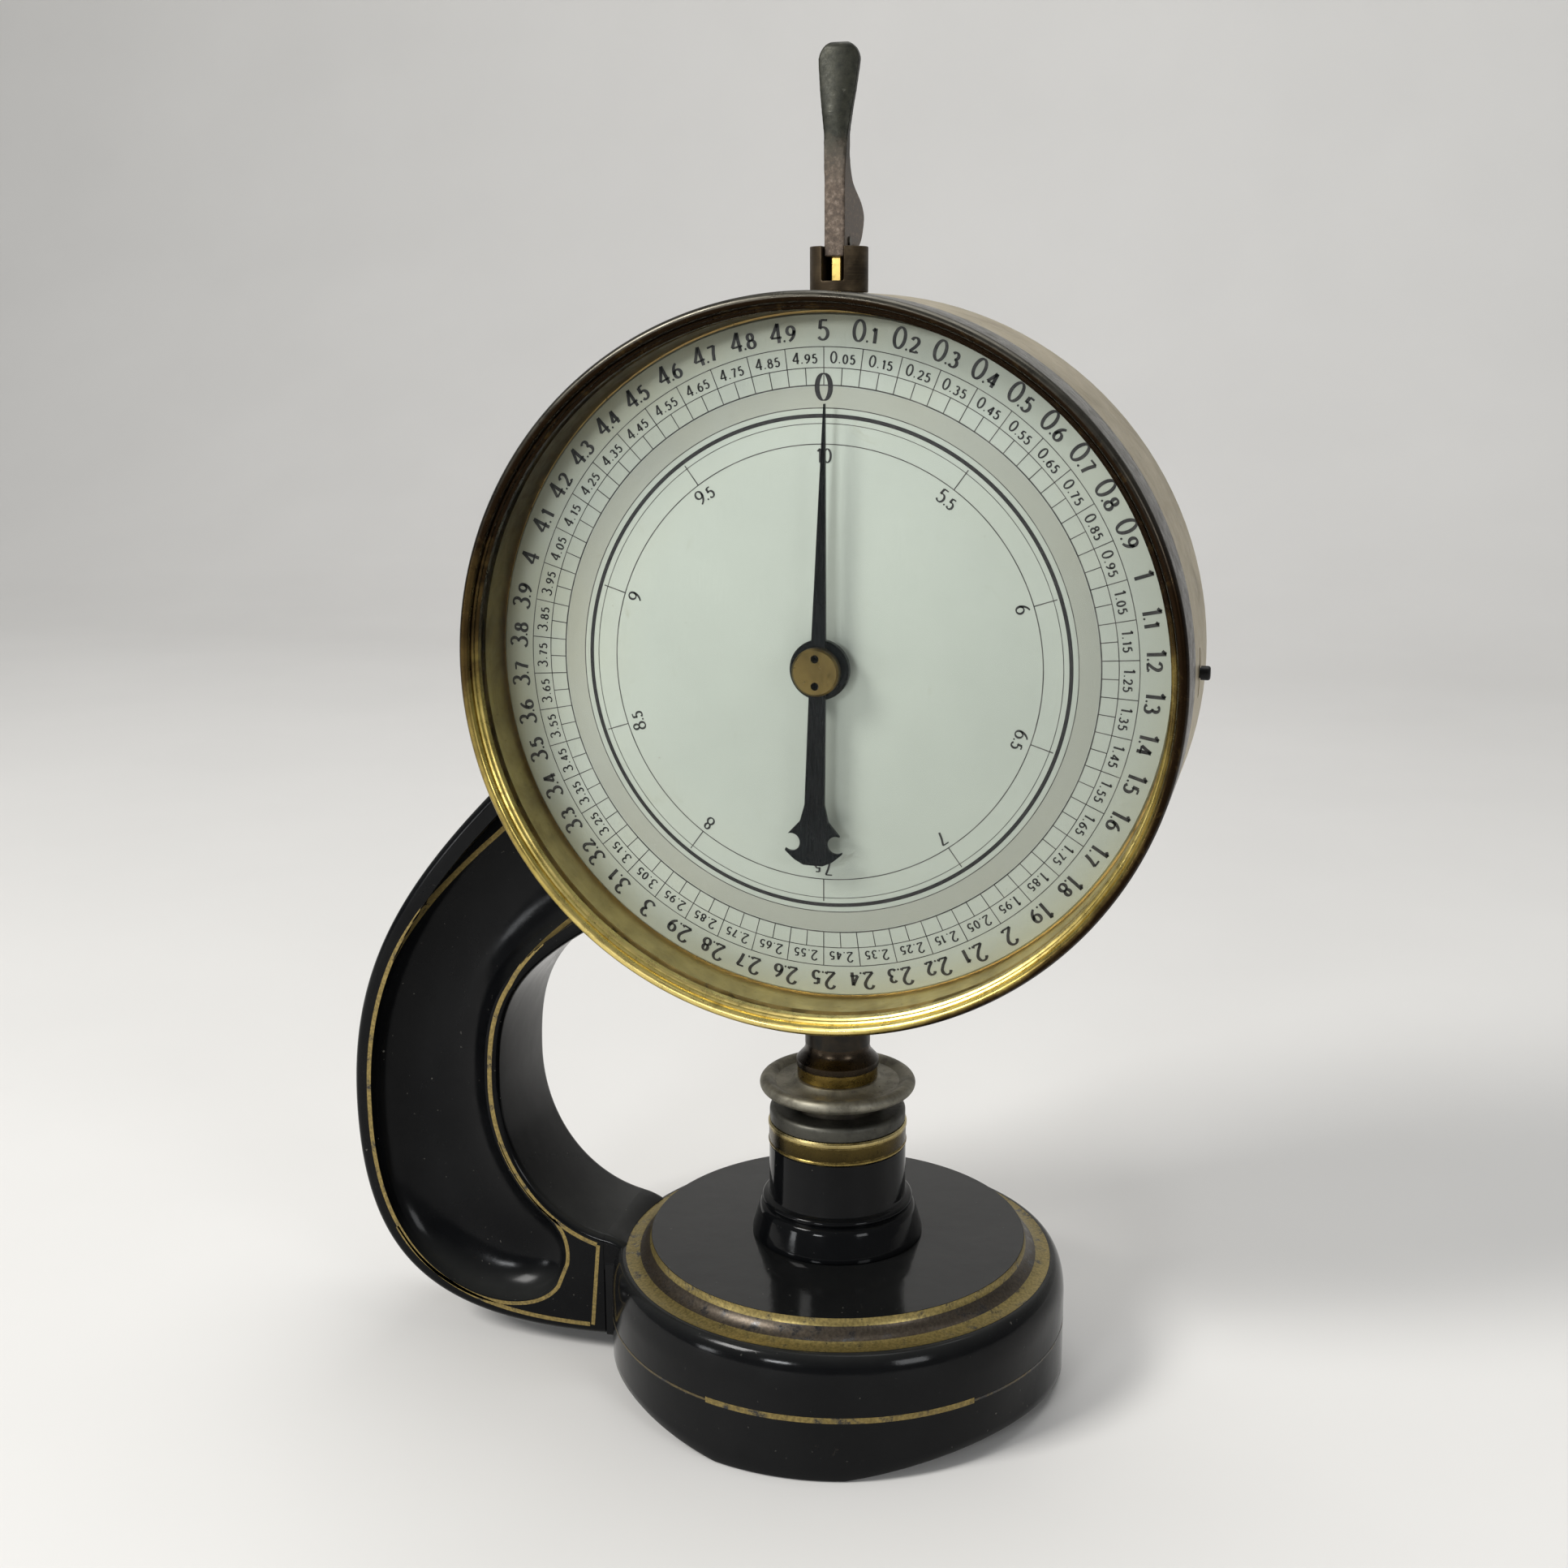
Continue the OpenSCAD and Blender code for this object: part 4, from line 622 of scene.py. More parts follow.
def make_base():
    inner = BASE_R - BASE_WALL
    under = [(BORE_R, HOLLOW_H), (inner - 1.5, HOLLOW_H), (inner - 0.4, HOLLOW_H - 0.4)]
    under += [(inner, HOLLOW_H - 1.5), (inner, 8.0), (inner, 0.35)]
    low = [(inner + 0.3, 0.0), (inner + 1.2, 0.0)]
    low += [(SKIRT_R - 0.9, 0.0), (SKIRT_R - 0.25, 0.25), (SKIRT_R, 0.9)]
    top = [(SKIRT_R, SKIRT_H * k / 6) for k in range(1, 6)]
    top += arc(SHOULDER_R, SKIRT_H, SKIRT_R - SHOULDER_R, SHOULDER_H - SKIRT_H, 0, 90, 18)
    top += [(SHOULDER_R - 0.3, SHOULDER_H + 0.02), (COVE_R, SHOULDER_H + 0.02)] + cove_points(0, 90, 18)[1:]
    top += [(r, BASE_H) for r in (PLATEAU_R - 0.25, 25.0, 16.0, BORE_R)]
    profile = under + low + top
    steps = 288
    verts = []
    for k in range(steps):
        angle = 360 * k / steps
        a = radians(angle)
        for r, z in profile:
            if r > inner - 0.01 and z < ARCH_FADE:
                z += arch_height(angle, r) * (1 - z / ARCH_FADE)
            verts.append((r * cos(a), r * sin(a), z))
    shell = add_mesh("base_shell", verts, quads(steps, len(profile)), ENAMEL_BASE, sharp=38)
    shell.data.materials.append(ENAMEL_TOP)
    for poly in shell.data.polygons:
        if poly.normal.z > 0.9 and poly.center.z > (BASE_H - 0.1) * MM:
            poly.material_index = 1
    return shell


def make_lug():
    """The flat on the base that the arm is screwed to."""
    half, low, high = 11.0, 4.0, (SKIRT_H + SHOULDER_H) / 2
    outline = rounded([(-half, low), (half, low), (half, high), (-half, high)], 0.8, 4)
    verts = []
    for depth, shrink in ((0.0, 0.25), (0.25, 0.0), (5.5, 0.0)):
        for y, z in outline:
            verts.append((depth - ARM_SEAT, y * (1 - shrink / half), z + (shrink if z < 10 else -shrink)))
    n = len(outline)
    faces = [tuple(range(n)), tuple(range(2 * n, 3 * n))] + quads(3, n, wrap_rows=False)
    return add_mesh("arm_seat", verts, faces, ENAMEL_BASE)


base_shell = make_base()
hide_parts("base_casting")
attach(base_shell, "stand")
arm_seat = make_lug()
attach(arm_seat, "stand")


def ring_band(name, profile, material, start=0.0, stop=360.0, lift=0.03):
    """An open painted band that follows a turned profile a hair above it."""
    pts = []
    last = len(profile) - 1
    for i, (r, z) in enumerate(profile):
        a, b = profile[max(0, i - 1)], profile[min(last, i + 1)]
        d = Vector((b[0] - a[0], b[1] - a[1])).normalized()
        pts.append((r + d.y * lift, z - d.x * lift))
    steps = 240
    verts = []
    for a in sweep(start, stop, steps):
        verts += [(r * cos(a), r * sin(a), z) for r, z in pts]
    obj = add_mesh(name, verts, quads(steps + 1, len(pts), False, False), material)
    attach(obj, "stand")


STRIPE = [(SKIRT_R, z) for z in (10.7, 11.2, 11.7)]
FAINT_LINE = [(SKIRT_R, z) for z in (11.0, 11.2, 11.4)]
cove_start = [(SHOULDER_R - 0.25, SHOULDER_H + 0.03)]
ring_band("cove_gilding_low", cove_start + cove_points(0, 31), GOLD_COVE, lift=0.05)
ring_band("cove_shade", cove_points(31, 68), COVE_BROWN, lift=0.04)
ring_band("cove_gilding_top", cove_points(68, 89), GOLD_COVE, lift=0.05)
ring_band("skirt_stripe", STRIPE, GOLD_SKIRT, -108, -42)
ring_band("skirt_line", FAINT_LINE, GOLD_FAINT, -42, 162)
ring_band("skirt_line_left", FAINT_LINE, GOLD_FAINT, -162, -108)


# Arm: the same curves as the solid, drawn finer.
# A place along it is s, from 0 at the base to 1 at the case.

ARM_REACH, THROAT = 88.4, 59.8
ARM_LOW, ARM_FOOT, ARM_MID, ARM_T = 4.0, 19.5, 44.0, 22.0
RIM_OUT, RIM_IN, GROOVE_D, GROOVE_START, GROOVE_LIP = 3.6, 2.4, 6.5, 8.0, 0.35
EDGE_R = 1.5
EDGE_STEPS = (0.0, 0.1, 0.3, 0.6, 1.0, EDGE_R)
ARM_END_R = CASE_R + 0.1
IN_ANGLE, OUT_ANGLE = 230.0, 200.4
FIT_START, FIT_LENGTH = 0.93, 0.07


def on_case(a):
    return Vector((ARM_END_R * cos(radians(a)), DZ + ARM_END_R * sin(radians(a))))


def bezier(points, t):
    p = [Vector(q) for q in points]
    u = 1 - t
    return p[0] * u ** 3 + p[1] * 3 * u * u * t + p[2] * 3 * u * t * t + p[3] * t ** 3


OUT_END, IN_END = on_case(OUT_ANGLE), on_case(IN_ANGLE)
ARM_TOP, THROAT_MID = ARM_LOW + ARM_FOOT, ARM_MID + 6
OUT_LOW = [(-ARM_SEAT, ARM_LOW), (-ARM_SEAT - 36, ARM_LOW - 2),
           (-ARM_REACH, ARM_MID - 30), (-ARM_REACH, ARM_MID)]
OUT_HIGH = [OUT_LOW[3], (-ARM_REACH, ARM_MID + 26), OUT_END + Vector((-21.3, -20.7)), OUT_END]
IN_LOW = [(-ARM_SEAT, ARM_TOP), (-ARM_SEAT - 11, ARM_TOP + 2.1),
          (-THROAT, THROAT_MID - 14), (-THROAT, THROAT_MID)]
IN_HIGH = [IN_LOW[3], (-THROAT, THROAT_MID + 17), IN_END + Vector((-17, -10.4)), IN_END]


def outer_edge(s):
    return bezier(OUT_LOW, 2 * s) if s < 0.5 else bezier(OUT_HIGH, 2 * s - 1)


def inner_edge(s):
    return bezier(IN_LOW, 2 * s) if s < 0.5 else bezier(IN_HIGH, 2 * s - 1)


def width_at(s):
    return (outer_edge(s) - inner_edge(s)).length


def groove(s):
    """Middle, half width, full half width and run of the channel, measured from the inner edge."""
    full = (width_at(s) - RIM_OUT - RIM_IN) / 2
    mid_x = (outer_edge(s).x + inner_edge(s).x) / 2
    run = max(0.0, -mid_x - ARM_SEAT - GROOVE_START + max(0.0, s - 0.25) * 400)
    half = full if run >= full else max(0.05, sqrt(max(0.0, full ** 2 - (full - run) ** 2)))
    return RIM_IN + full, half, full, run


def edge_drop(d):
    """How far a rounded edge falls away at a distance from it."""
    return EDGE_R - sqrt(max(0.0, EDGE_R ** 2 - max(0.0, EDGE_R - d) ** 2))


def face_row(s, cuts=30):
    """A section of the arm's face: (distance from the inner edge, depth)."""
    mid, half, full, run = groove(s)
    w = width_at(s)
    row = [(d, edge_drop(d)) for d in EDGE_STEPS]
    before = mid - half - GROOVE_LIP > EDGE_R
    row.append(((EDGE_R + mid - half - GROOVE_LIP) / 2 if before else EDGE_R + 0.01, 0.0))
    for i in range(cuts + 1):
        q = -cos(pi * i / cuts)
        depth = 0.0 if run <= 0 else GROOVE_D * half / full * sqrt(max(0.0, 1 - q * q))
        row.append((mid + q * half, depth))
    row.append((w - (RIM_OUT + EDGE_R) / 2, 0.0))
    return row + [(w - d, edge_drop(d)) for d in reversed(EDGE_STEPS)]


def arm_point(s, d, y):
    i, o = inner_edge(s), outer_edge(s)
    f = d / (o - i).length
    p = i + (o - i) * f
    if s > FIT_START:
        q = on_case(IN_ANGLE + (OUT_ANGLE - IN_ANGLE) * f)
        t = (s - FIT_START) / FIT_LENGTH
        p = p * (1 - t * t) + q * t * t
    return (p.x, y, p.y)


def depth_at(s, d):
    row = face_row(s)
    for (d0, y0), (d1, y1) in zip(row, row[1:]):
        if d0 <= d <= d1 and d1 > d0:
            return y0 + (y1 - y0) * (d - d0) / (d1 - d0)
    return 0.0


def make_arm():
    steps = 200
    verts = []
    for j in range(steps + 1):
        s = j / steps
        row = face_row(s)
        verts += [arm_point(s, d, -ARM_T / 2 + depth) for d, depth in row]
        verts += [arm_point(s, d, ARM_T / 2 - depth) for d, depth in reversed(row)]
    m = len(verts) // (steps + 1)
    faces = quads(steps + 1, m, wrap_rows=False)
    faces += [tuple(range(m)), tuple(steps * m + i for i in range(m))]
    return add_mesh("arm_casting", verts, faces, ENAMEL_ARM, sharp=50)


arm = make_arm()
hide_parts("c_arm")
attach(arm, "stand")


def make_nose():
    """Carries the arm's top on to the rim of the moulding, with the arm's rounded edges."""
    half, rim, low, end_z, rows = ARM_T / 2 - 0.1, SHOULDER_R - 0.3, SKIRT_H + 1.5, SHOULDER_H + 0.2, 8
    edge = [half - EDGE_R + EDGE_R * sin(a) for a in sweep(0, 90, 6)]
    columns = [-y for y in reversed(edge)] + [(half - EDGE_R) * k / 4 for k in range(-3, 4)] + edge
    top = []
    for y in columns:
        inside = -sqrt(rim ** 2 - y * y)
        for i in range(rows + 1):
            t = i / rows
            z = ARM_TOP + (end_z - ARM_TOP) * t * (0.35 + 0.65 * t)
            top.append((-ARM_SEAT + (inside + ARM_SEAT) * t, y, z - edge_drop(half - abs(y))))
    n, m, last = len(top), rows + 1, len(columns) - 1
    verts = top + [(x, y, low) for x, y, z in top]
    faces = []
    for a, b, c, d in quads(len(columns), m, False, False):
        faces += [(a, b, c, d), (n + a, n + d, n + c, n + b)]
    border = [j * m for j in range(last + 1)] + [n - m + i for i in range(1, m)]
    border += [j * m + rows for j in range(last - 1, -1, -1)] + list(range(rows - 1, 0, -1))
    for a, b in zip(border, border[1:] + border[:1]):
        faces.append((a, b, b + n, a + n))
    return add_mesh("arm_nose", verts, faces, ENAMEL_ARM, sharp=50)


nose = make_nose()
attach(nose, "stand")


def arm_stripe(name, path, width=0.8):
    """A painted line on both faces of the arm. The path holds (s, distance from the inner edge)."""
    verts = []
    faces = []
    columns, paint = 5, 0.04
    flat = [Vector(arm_point(s, d, 0)).xz for s, d in path]
    for side in (-1, 1):
        faces += quads(len(path), columns, False, False, start=len(verts))
        for k, (s, d) in enumerate(path):
            t = (flat[min(k + 1, len(path) - 1)] - flat[max(k - 1, 0)]).normalized()
            normal = Vector((-t.y, t.x))
            across = (outer_edge(s) - inner_edge(s)).normalized()
            for c in range(columns):
                off = (c / (columns - 1) - 0.5) * width
                p = flat[k] + normal * off
                depth = depth_at(s, d + off * normal.dot(across))
                verts.append((p.x, side * (ARM_T / 2 - depth + paint), p.y))
    obj = add_mesh(name, verts, faces, GOLD_LINE)
    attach(obj, "stand")


# Painted lines: steps along the arm, distances from its edge and from the channel
STRIPE_STEPS, CURL_STEPS = 200, 400
EDGE_GAP, CURL_GAP, NARROW = 2.0, 0.75, 0.7
END_S, END_STEPS = 0.012, 20


def curl_point(k, side):
    """A point beside the channel's foot, on its inner (-1) or outer (1) side."""
    mid, half = groove(k / CURL_STEPS)[:2]
    return (k / CURL_STEPS, mid - half - CURL_GAP if side < 0 else mid + half + CURL_GAP)


outer_line, inner_line = [], []
for k in range(3, STRIPE_STEPS):
    s = k / STRIPE_STEPS
    margin = EDGE_GAP + 1.2 * min(1, k / 60) + 3.2 * max(0, (k - 140) / 60) ** 1.5
    outer_line.append((s, width_at(s) - margin))
    inner_line.append((s, EDGE_GAP - 0.55 * min(1, k / 50) + 2.2 * max(0, (k - 150) / 50)))
arm_stripe("stripe_outer", outer_line)
arm_stripe("stripe_inner", inner_line)
first = next(k for k in range(CURL_STEPS) if groove(k / CURL_STEPS)[3] > 0)
curl = [curl_point(k, -1) for k in range(150, first - 1, -1)]
curl += [curl_point(k, 1) for k in range(first, 130)]
arm_stripe("stripe_curl", curl, NARROW)
end_width = width_at(END_S) - 2 * EDGE_GAP
end_line = [(END_S, EDGE_GAP + end_width * k / END_STEPS) for k in range(END_STEPS + 1)]
arm_stripe("stripe_end", end_line, NARROW)


# Turned pieces under the case, each between its solid's lower end z0 and upper end z1

POST_BORE, POST_SOCKET, RING_BORE, STUD_BORE = 3.2, 5.2, 5.05, 3.05
POST_R, POST_NECK, RING_R, RING_WAIST = 15.0, 12.0, 12.15, 12.02
STEM_R, ANVIL_T = 5.0, 2.7

z0, z1 = POST[0][2], POST[1][2]
profile = steps_at(z0, (POST_BORE, 0), (14.8, 0), (POST_R, 0.2), (POST_R, 0.7), (14.85, 1.2),
                   (14.35, 3.0), (13.85, 4.6), (13.6, 5.3), (13.35, 5.55), (13.05, 5.7), (13.05, 5.9))
profile += arc(12.7, z0 + 6.5, 0.6, 0.6, -50, 80, 8)
profile += steps_at(z0, (12.4, 7.2), (12.1, 7.35), (POST_NECK, 7.8))
profile += steps_at(z1, (POST_NECK, -0.2), (11.8, 0), (POST_SOCKET, 0), (POST_SOCKET, -4), (POST_BORE, -4))
post = lathe("post_turned", profile, ENAMEL_POST)
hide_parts("anvil_post")
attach(post, "stand")

z0, z1 = RING[0][2], RING[1][2]
profile = steps_at(z0, (RING_BORE, 0), (11.95, 0), (12.12, 0.15), (RING_R, 0.45), (RING_WAIST, 0.6))
profile += steps_at(z1, (RING_WAIST, -1.0), (RING_R, -0.85), (RING_R, -0.25), (11.9, 0), (RING_BORE, 0))
ring = lathe("ring_turned", profile, BRASS_RING_HIGHLIGHTS)
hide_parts("anvil_ring")
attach(ring, "stand")

z0, z1 = ANVIL[0][2], ANVIL[1][2]
disc = steps_at(z0, (0.0, 0), (4.8, 0), (STEM_R, 0.2))
disc += steps_at(z1 - ANVIL_T, (STEM_R, 0), (11.5, 0), (11.85, 0.2), (11.9, 0.5))
disc += arc(11.0, z1 - 0.9, 0.9, 0.9, 0, 90, 8) + [(9.8, z1), (0.0, z1)]
anvil = lathe("anvil_turned", disc, STEEL_ANVIL)
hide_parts("anvil")
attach(anvil, "stand")

z0, z1 = FLANGE[0][2], FLANGE[1][2]
saucer = steps_at(z0, (STUD_BORE, 0), (8.6, 0), (9.4, 0.1), (10.6, 0.35), (11.5, 0.38))
saucer += arc(12.45, z0 + 1.15, 1.15, 1.15, -140, 118, 18)
saucer += steps_at(z1, (11.4, -0.40), (10.8, -0.88), (8.8, -0.95), (8.0, -0.62), (7.45, -0.05),
                   (7.2, 0), (STUD_BORE, 0))
flange = lathe("flange_turned", saucer, STEEL_FLANGE)
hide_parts("foot_flange")
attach(flange, "spindle")

z0, z1 = HUB[0][2], HUB[1][2]
collar = steps_at(z0, (STUD_BORE, 0), (6.9, 0), (7.0, 0.15), (7.0, 2.1), (7.16, 2.25), (7.16, 3.3),
                  (6.95, 3.55), (6.75, 3.75), (6.0, 4.6), (5.66, 5.3)) + [(5.6, z1), (STUD_BORE, z1)]
hub = lathe("hub_turned", collar, BRASS_COLLAR)
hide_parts("foot_hub")
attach(hub, "spindle")


# Bezel: turned ring with a bead, a groove and a stepped inner lip

front, end = BEZEL[0][1], BEZEL[1][1]
bore = CASE_R - 1.6
lip = CASE_R - 2.8
profile = [(bore, end), (bore, GLASS_Y), (lip, GLASS_Y)]
profile += steps_at(front, (0.0, 2.1), (0.15, 1.9), (0.45, 1.75), (0.55, 1.35), (0.8, 1.15),
                    (1.0, 1.2), (1.05, 0.85), radius=lip)
profile += arc(CASE_R - 0.95, front + 0.8, 0.8, 0.8, 205, 330, 12)
profile += steps_at(front, (-0.08, 0.75), (-0.22, 1.05), (-0.05, 1.35), (0, 1.7), radius=CASE_R)
profile += steps_at(end, (0, -0.25), (-0.2, 0), radius=CASE_R)
bezel = lathe("bezel_turned", profile, BRASS_BEZEL, axis="y", steps=256)
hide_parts("bezel")
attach(bezel, "stand")


# Dial marks. Glyphs are strokes in a box one unit high.

GLYPHS = {
    "0": [arc(0.30, 0.50, 0.25, 0.48, 90, 450, 30)],
    "1": [[(0.13, 0.80), (0.24, 0.90), (0.31, 0.99)], [(0.32, 1.0), (0.32, 0.0)]],
    "2": [arc(0.29, 0.73, 0.24, 0.26, 168, -32, 14) + [(0.36, 0.38), (0.16, 0.16), (0.05, 0.03)],
          [(0.04, 0.03), (0.50, 0.03)], [(0.50, 0.03), (0.56, 0.14)]],
    "3": [arc(0.28, 0.755, 0.21, 0.225, 152, -88, 14), arc(0.27, 0.265, 0.26, 0.265, 88, -152, 16)],
    "4": [[(0.44, 0.0), (0.44, 1.0)], [(0.43, 0.99), (0.24, 0.63), (0.03, 0.27)],
          [(0.03, 0.27), (0.60, 0.27)]],
    "5": [[(0.50, 0.97), (0.15, 0.97)], [(0.15, 0.97), (0.11, 0.54)],
          arc(0.27, 0.31, 0.26, 0.31, 128, -148, 18)],
    "6": [arc(0.30, 0.29, 0.25, 0.28, 0, 360, 22), arc(0.66, 0.30, 0.61, 0.70, 180, 108, 12)],
    "7": [[(0.06, 0.97), (0.56, 0.97)], [(0.55, 0.97), (0.36, 0.50), (0.24, 0.0)]],
    "8": [arc(0.30, 0.755, 0.19, 0.225, 0, 360, 20), arc(0.30, 0.27, 0.25, 0.26, 0, 360, 22)],
}
GLYPHS["9"] = [[(0.6 - x, 1.0 - y) for x, y in stroke] for stroke in GLYPHS["6"]]
ADVANCE = {"1": 0.50, ".": 0.26}


def advance(char, height, gap):
    return ADVANCE.get(char, 0.66) * height + gap


def spoke(angle):
    """Directions outward and along the rim, at an angle clockwise from the top."""
    a = radians(angle)
    return Vector((sin(a), cos(a))), Vector((cos(a), -sin(a)))


class Marks:
    """Flat ink shapes gathered into one mesh on the dial's face."""

    def __init__(self, name, material, lift):
        self.name, self.material, self.y = name, material, DIAL_Y - lift
        self.verts, self.faces = [], []

    def add(self, points):
        self.verts += [(x, self.y, DZ + z) for x, z in points]

    def patch(self, points):
        k = len(self.verts)
        self.add(points)
        self.faces.append(tuple(range(k, k + len(points))))

    def stroke(self, pts, thick, thin, place=tuple):
        """A ribbon whose width is greater where it runs upright."""
        sides = []
        n = len(pts)
        loop = n > 3 and (Vector(pts[0]) - Vector(pts[-1])).length < 1e-4
        for i, (x, y) in enumerate(pts):
            a = pts[i - 1] if i else (pts[-2] if loop else pts[0])
            b = pts[i + 1] if i < n - 1 else (pts[1] if loop else pts[-1])
            t = (Vector(b) - Vector(a)).normalized()
            half = (thin + (thick - thin) * abs(t.y) ** 1.5) / 2
            sides += [(x - t.y * half, y + t.x * half), (x + t.y * half, y - t.x * half)]
        self.faces += quads(n, 2, False, False, start=len(self.verts))
        self.add([place(p) for p in sides])

    def label(self, parts, angle, base, thick, thin, gap):
        """Characters with their heights, centred at an angle clockwise from the top, tops outward."""
        total = sum(advance(c, h, gap) for c, h in parts) - gap - 0.06
        x = -total / 2
        out, along = spoke(angle)
        for c, h in parts:
            def place(p, x=x):
                return tuple(out * (base + p[1]) + along * (x + p[0]))
            if c == ".":
                self.patch([place(p) for p in arc(0.06 * h, 0.10 * h, 0.11 * h, 0.11 * h, 0, 315, 7)])
            else:
                for s in GLYPHS[c]:
                    self.stroke([(px * h, py * h) for px, py in s], thick, thin, place)
            x += advance(c, h, gap)

    def ring(self, r, width, steps=360):
        self.faces += quads(steps, 2, True, False, start=len(self.verts))
        for i in range(steps):
            a = 2 * pi * i / steps
            self.add([(q * sin(a), q * cos(a)) for q in (r - width / 2, r + width / 2)])

    def tick(self, angle, r0, r1, width):
        out, along = spoke(angle)
        corners = ((r0, -1), (r1, -1), (r1, 1), (r0, 1))
        self.patch([tuple(out * r + along * s * width / 2) for r, s in corners])

    def make(self):
        obj = add_mesh(self.name, self.verts, self.faces, self.material, sharp=None)
        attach(obj, "dial")
        return obj


# Radii of the dial's lines, from the second turn's scale outward, and of the feet of its numerals
SECOND_R, SECOND_TOP, SECOND_TICK, BLACK_R, LIGHT_R = 35.6, 38.8, 39.4, 40.0, 40.75
BAND_IN, BAND_LINE, BAND_OUT, FINE_R, CELL_R, RIM_R = 41.1, 41.2, 44.5, 44.7, 47.4, 50.6
SECOND_BASE, CELL_BASE, NUMBER_BASE = 32.7, 48.1, 51.65
CELLS, SECOND_CELLS, ZERO_R = 50, 10, 44.45
CELL, SECOND_CELL = 360 / CELLS, 360 / SECOND_CELLS
RINGS = ((SECOND_R, 0.16), (SECOND_TOP, 0.11), (BAND_LINE, 0.14),
         (FINE_R, 0.22), (CELL_R, 0.14), (RIM_R, 0.14))
TICKS = ((2 * CELLS, FINE_R, CELL_R, 0.15), (CELLS, CELL_R, RIM_R, 0.15),
         (SECOND_CELLS, SECOND_R, SECOND_TICK, 0.18))

band = Marks("dial_grey_band", SILVER_RING, 0.015)
band.ring((BAND_IN + BAND_OUT) / 2, BAND_OUT - BAND_IN)
band_obj = band.make()

lines = Marks("dial_scale_lines", INK_LINE, 0.03)
for radius, width in RINGS:
    lines.ring(radius, width)
for count, r0, r1, width in TICKS:
    for k in range(count):
        lines.tick(360 / count * k, r0, r1, width)
lines.make()

bold = Marks("dial_black_ring", INK_BOLD, 0.04)
bold.ring(BLACK_R, 0.62)
for side in (-1, 1):
    bold.stroke(arc(0.0, ZERO_R, 1.08, 2.05, 90, 90 + side * 180, 24), 0.80, 0.14)
bold.make()

edge_line = Marks("dial_light_line", SILVER, 0.035)
edge_line.ring(LIGHT_R, 0.28)
edge_obj = edge_line.make()

numbers = Marks("dial_numerals", INK, 0.04)
for k in range(CELLS):
    whole, tenth = divmod(k or CELLS, 10)
    text = [(str(whole), 3.05)]
    if tenth:
        text = [(str(whole), 3.3 if whole == 0 else 3.0), (".", 1.7), (str(tenth), 2.3)]
    numbers.label(text, CELL * k, NUMBER_BASE, 0.56, 0.31, 0.12)
    text = [(str(k // 10), 1.75), (".", 1.1), (str(k % 10), 1.35), ("5", 1.35)]
    numbers.label(text, CELL * k + CELL / 2, CELL_BASE, 0.30, 0.20, 0.28)
for k in range(SECOND_CELLS):
    whole, half = divmod(CELLS + 5 * (k or SECOND_CELLS), 10)
    text = [(c, 2.2) for c in str(whole)] + ([(".", 1.4), (str(half), 1.75)] if half else [])
    numbers.label(text, SECOND_CELL * k, SECOND_BASE, 0.36, 0.21, 0.12)
numbers.make()


# Lever and boss: the solids' shapes with their edges worn round

def worn_copy(name, node, voxel, passes, material):
    obj = link_object(name, NODES[node].data.copy())
    remesh = obj.modifiers.new("voxels", "REMESH")
    remesh.mode = "VOXEL"
    remesh.voxel_size = voxel * MM
    remesh.use_smooth_shade = True
    smooth = obj.modifiers.new("worn", "SMOOTH")
    smooth.factor = 0.5
    smooth.iterations = passes
    obj.modifiers.new("thin", "DECIMATE").ratio = 0.4
    deps = bpy.context.evaluated_depsgraph_get()
    done = bpy.data.meshes.new_from_object(obj.evaluated_get(deps))
    obj.modifiers.clear()
    obj.data = done
    done.name = name
    done.materials.clear()
    done.materials.append(material)
    smooth_faces(done)
    return obj


# The lever's heights, half widths and middle, and how far each form goes
HEEL_LOW, HEEL_HIGH, PADDLE_LOW, PADDLE_FULL = 198.5, 205, 207, 213
FLARE_LOW, LEAN_LOW, TIP_LOW = 209, 212, 221
STEM_HALF, PADDLE_HALF, STEM_Y = 1.65, 3.25, -1.55
FLARE, LEAN, CROWN, HEEL_SLIM, TIP_ROUND, TIP_SPAN = 0.123, 0.165, 0.45, 0.65, 0.13, 14


def thumb_lever(obj):
    """Crown the paddle, round its tip and let the heel leave the stem lower down."""
    for v in obj.data.vertices:
        x, y, z = v.co.x / MM - AX, v.co.y / MM, v.co.z / MM
        half = min(max(STEM_HALF + FLARE * (z - FLARE_LOW), STEM_HALF), PADDLE_HALF)
        middle = STEM_Y + LEAN * max(z - LEAN_LOW, 0)
        if z > PADDLE_LOW:
            crown = CROWN * ease(z, PADDLE_LOW, PADDLE_FULL)
            y = middle + (y - middle) * (1 - crown * min(abs(x) / half, 1) ** 2)
            x *= 1 - TIP_ROUND * max(z - TIP_LOW, 0) ** 2 / TIP_SPAN
        elif y > 0:
            y *= 1 - HEEL_SLIM * ease(z, HEEL_LOW, HEEL_HIGH)
        v.co = ((x + AX) * MM, y * MM, z * MM)
    obj.data.update()


lever = worn_copy("lever_worn", "lift_lever", 0.16, 9, LEVER)
thumb_lever(lever)
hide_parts("lift_lever")
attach(lever, "lever")

boss = worn_copy("boss_worn", "lift_boss", 0.12, 4, BRONZE_BOSS)
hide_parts("lift_boss")
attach(boss, "stand")


# Return spring: the solid's coil

spring = link_object("spring_coil", NODES["return_spring"].data.copy())
spring.matrix_world = NODES["return_spring"].matrix_world.copy()
shade(spring, 60)
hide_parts("return_spring")
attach(spring, "stand")
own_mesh(spring)


# Smooth shading on the solids that stay
for node in NODES.values():
    shade(node, 30)


# Stage, light and camera, in metres

FLOOR_HALF, FLOOR_FRONT, BEND_Y, BEND_R, WALL_H = 2.6, -1.6, 0.75, 0.5, 2.4


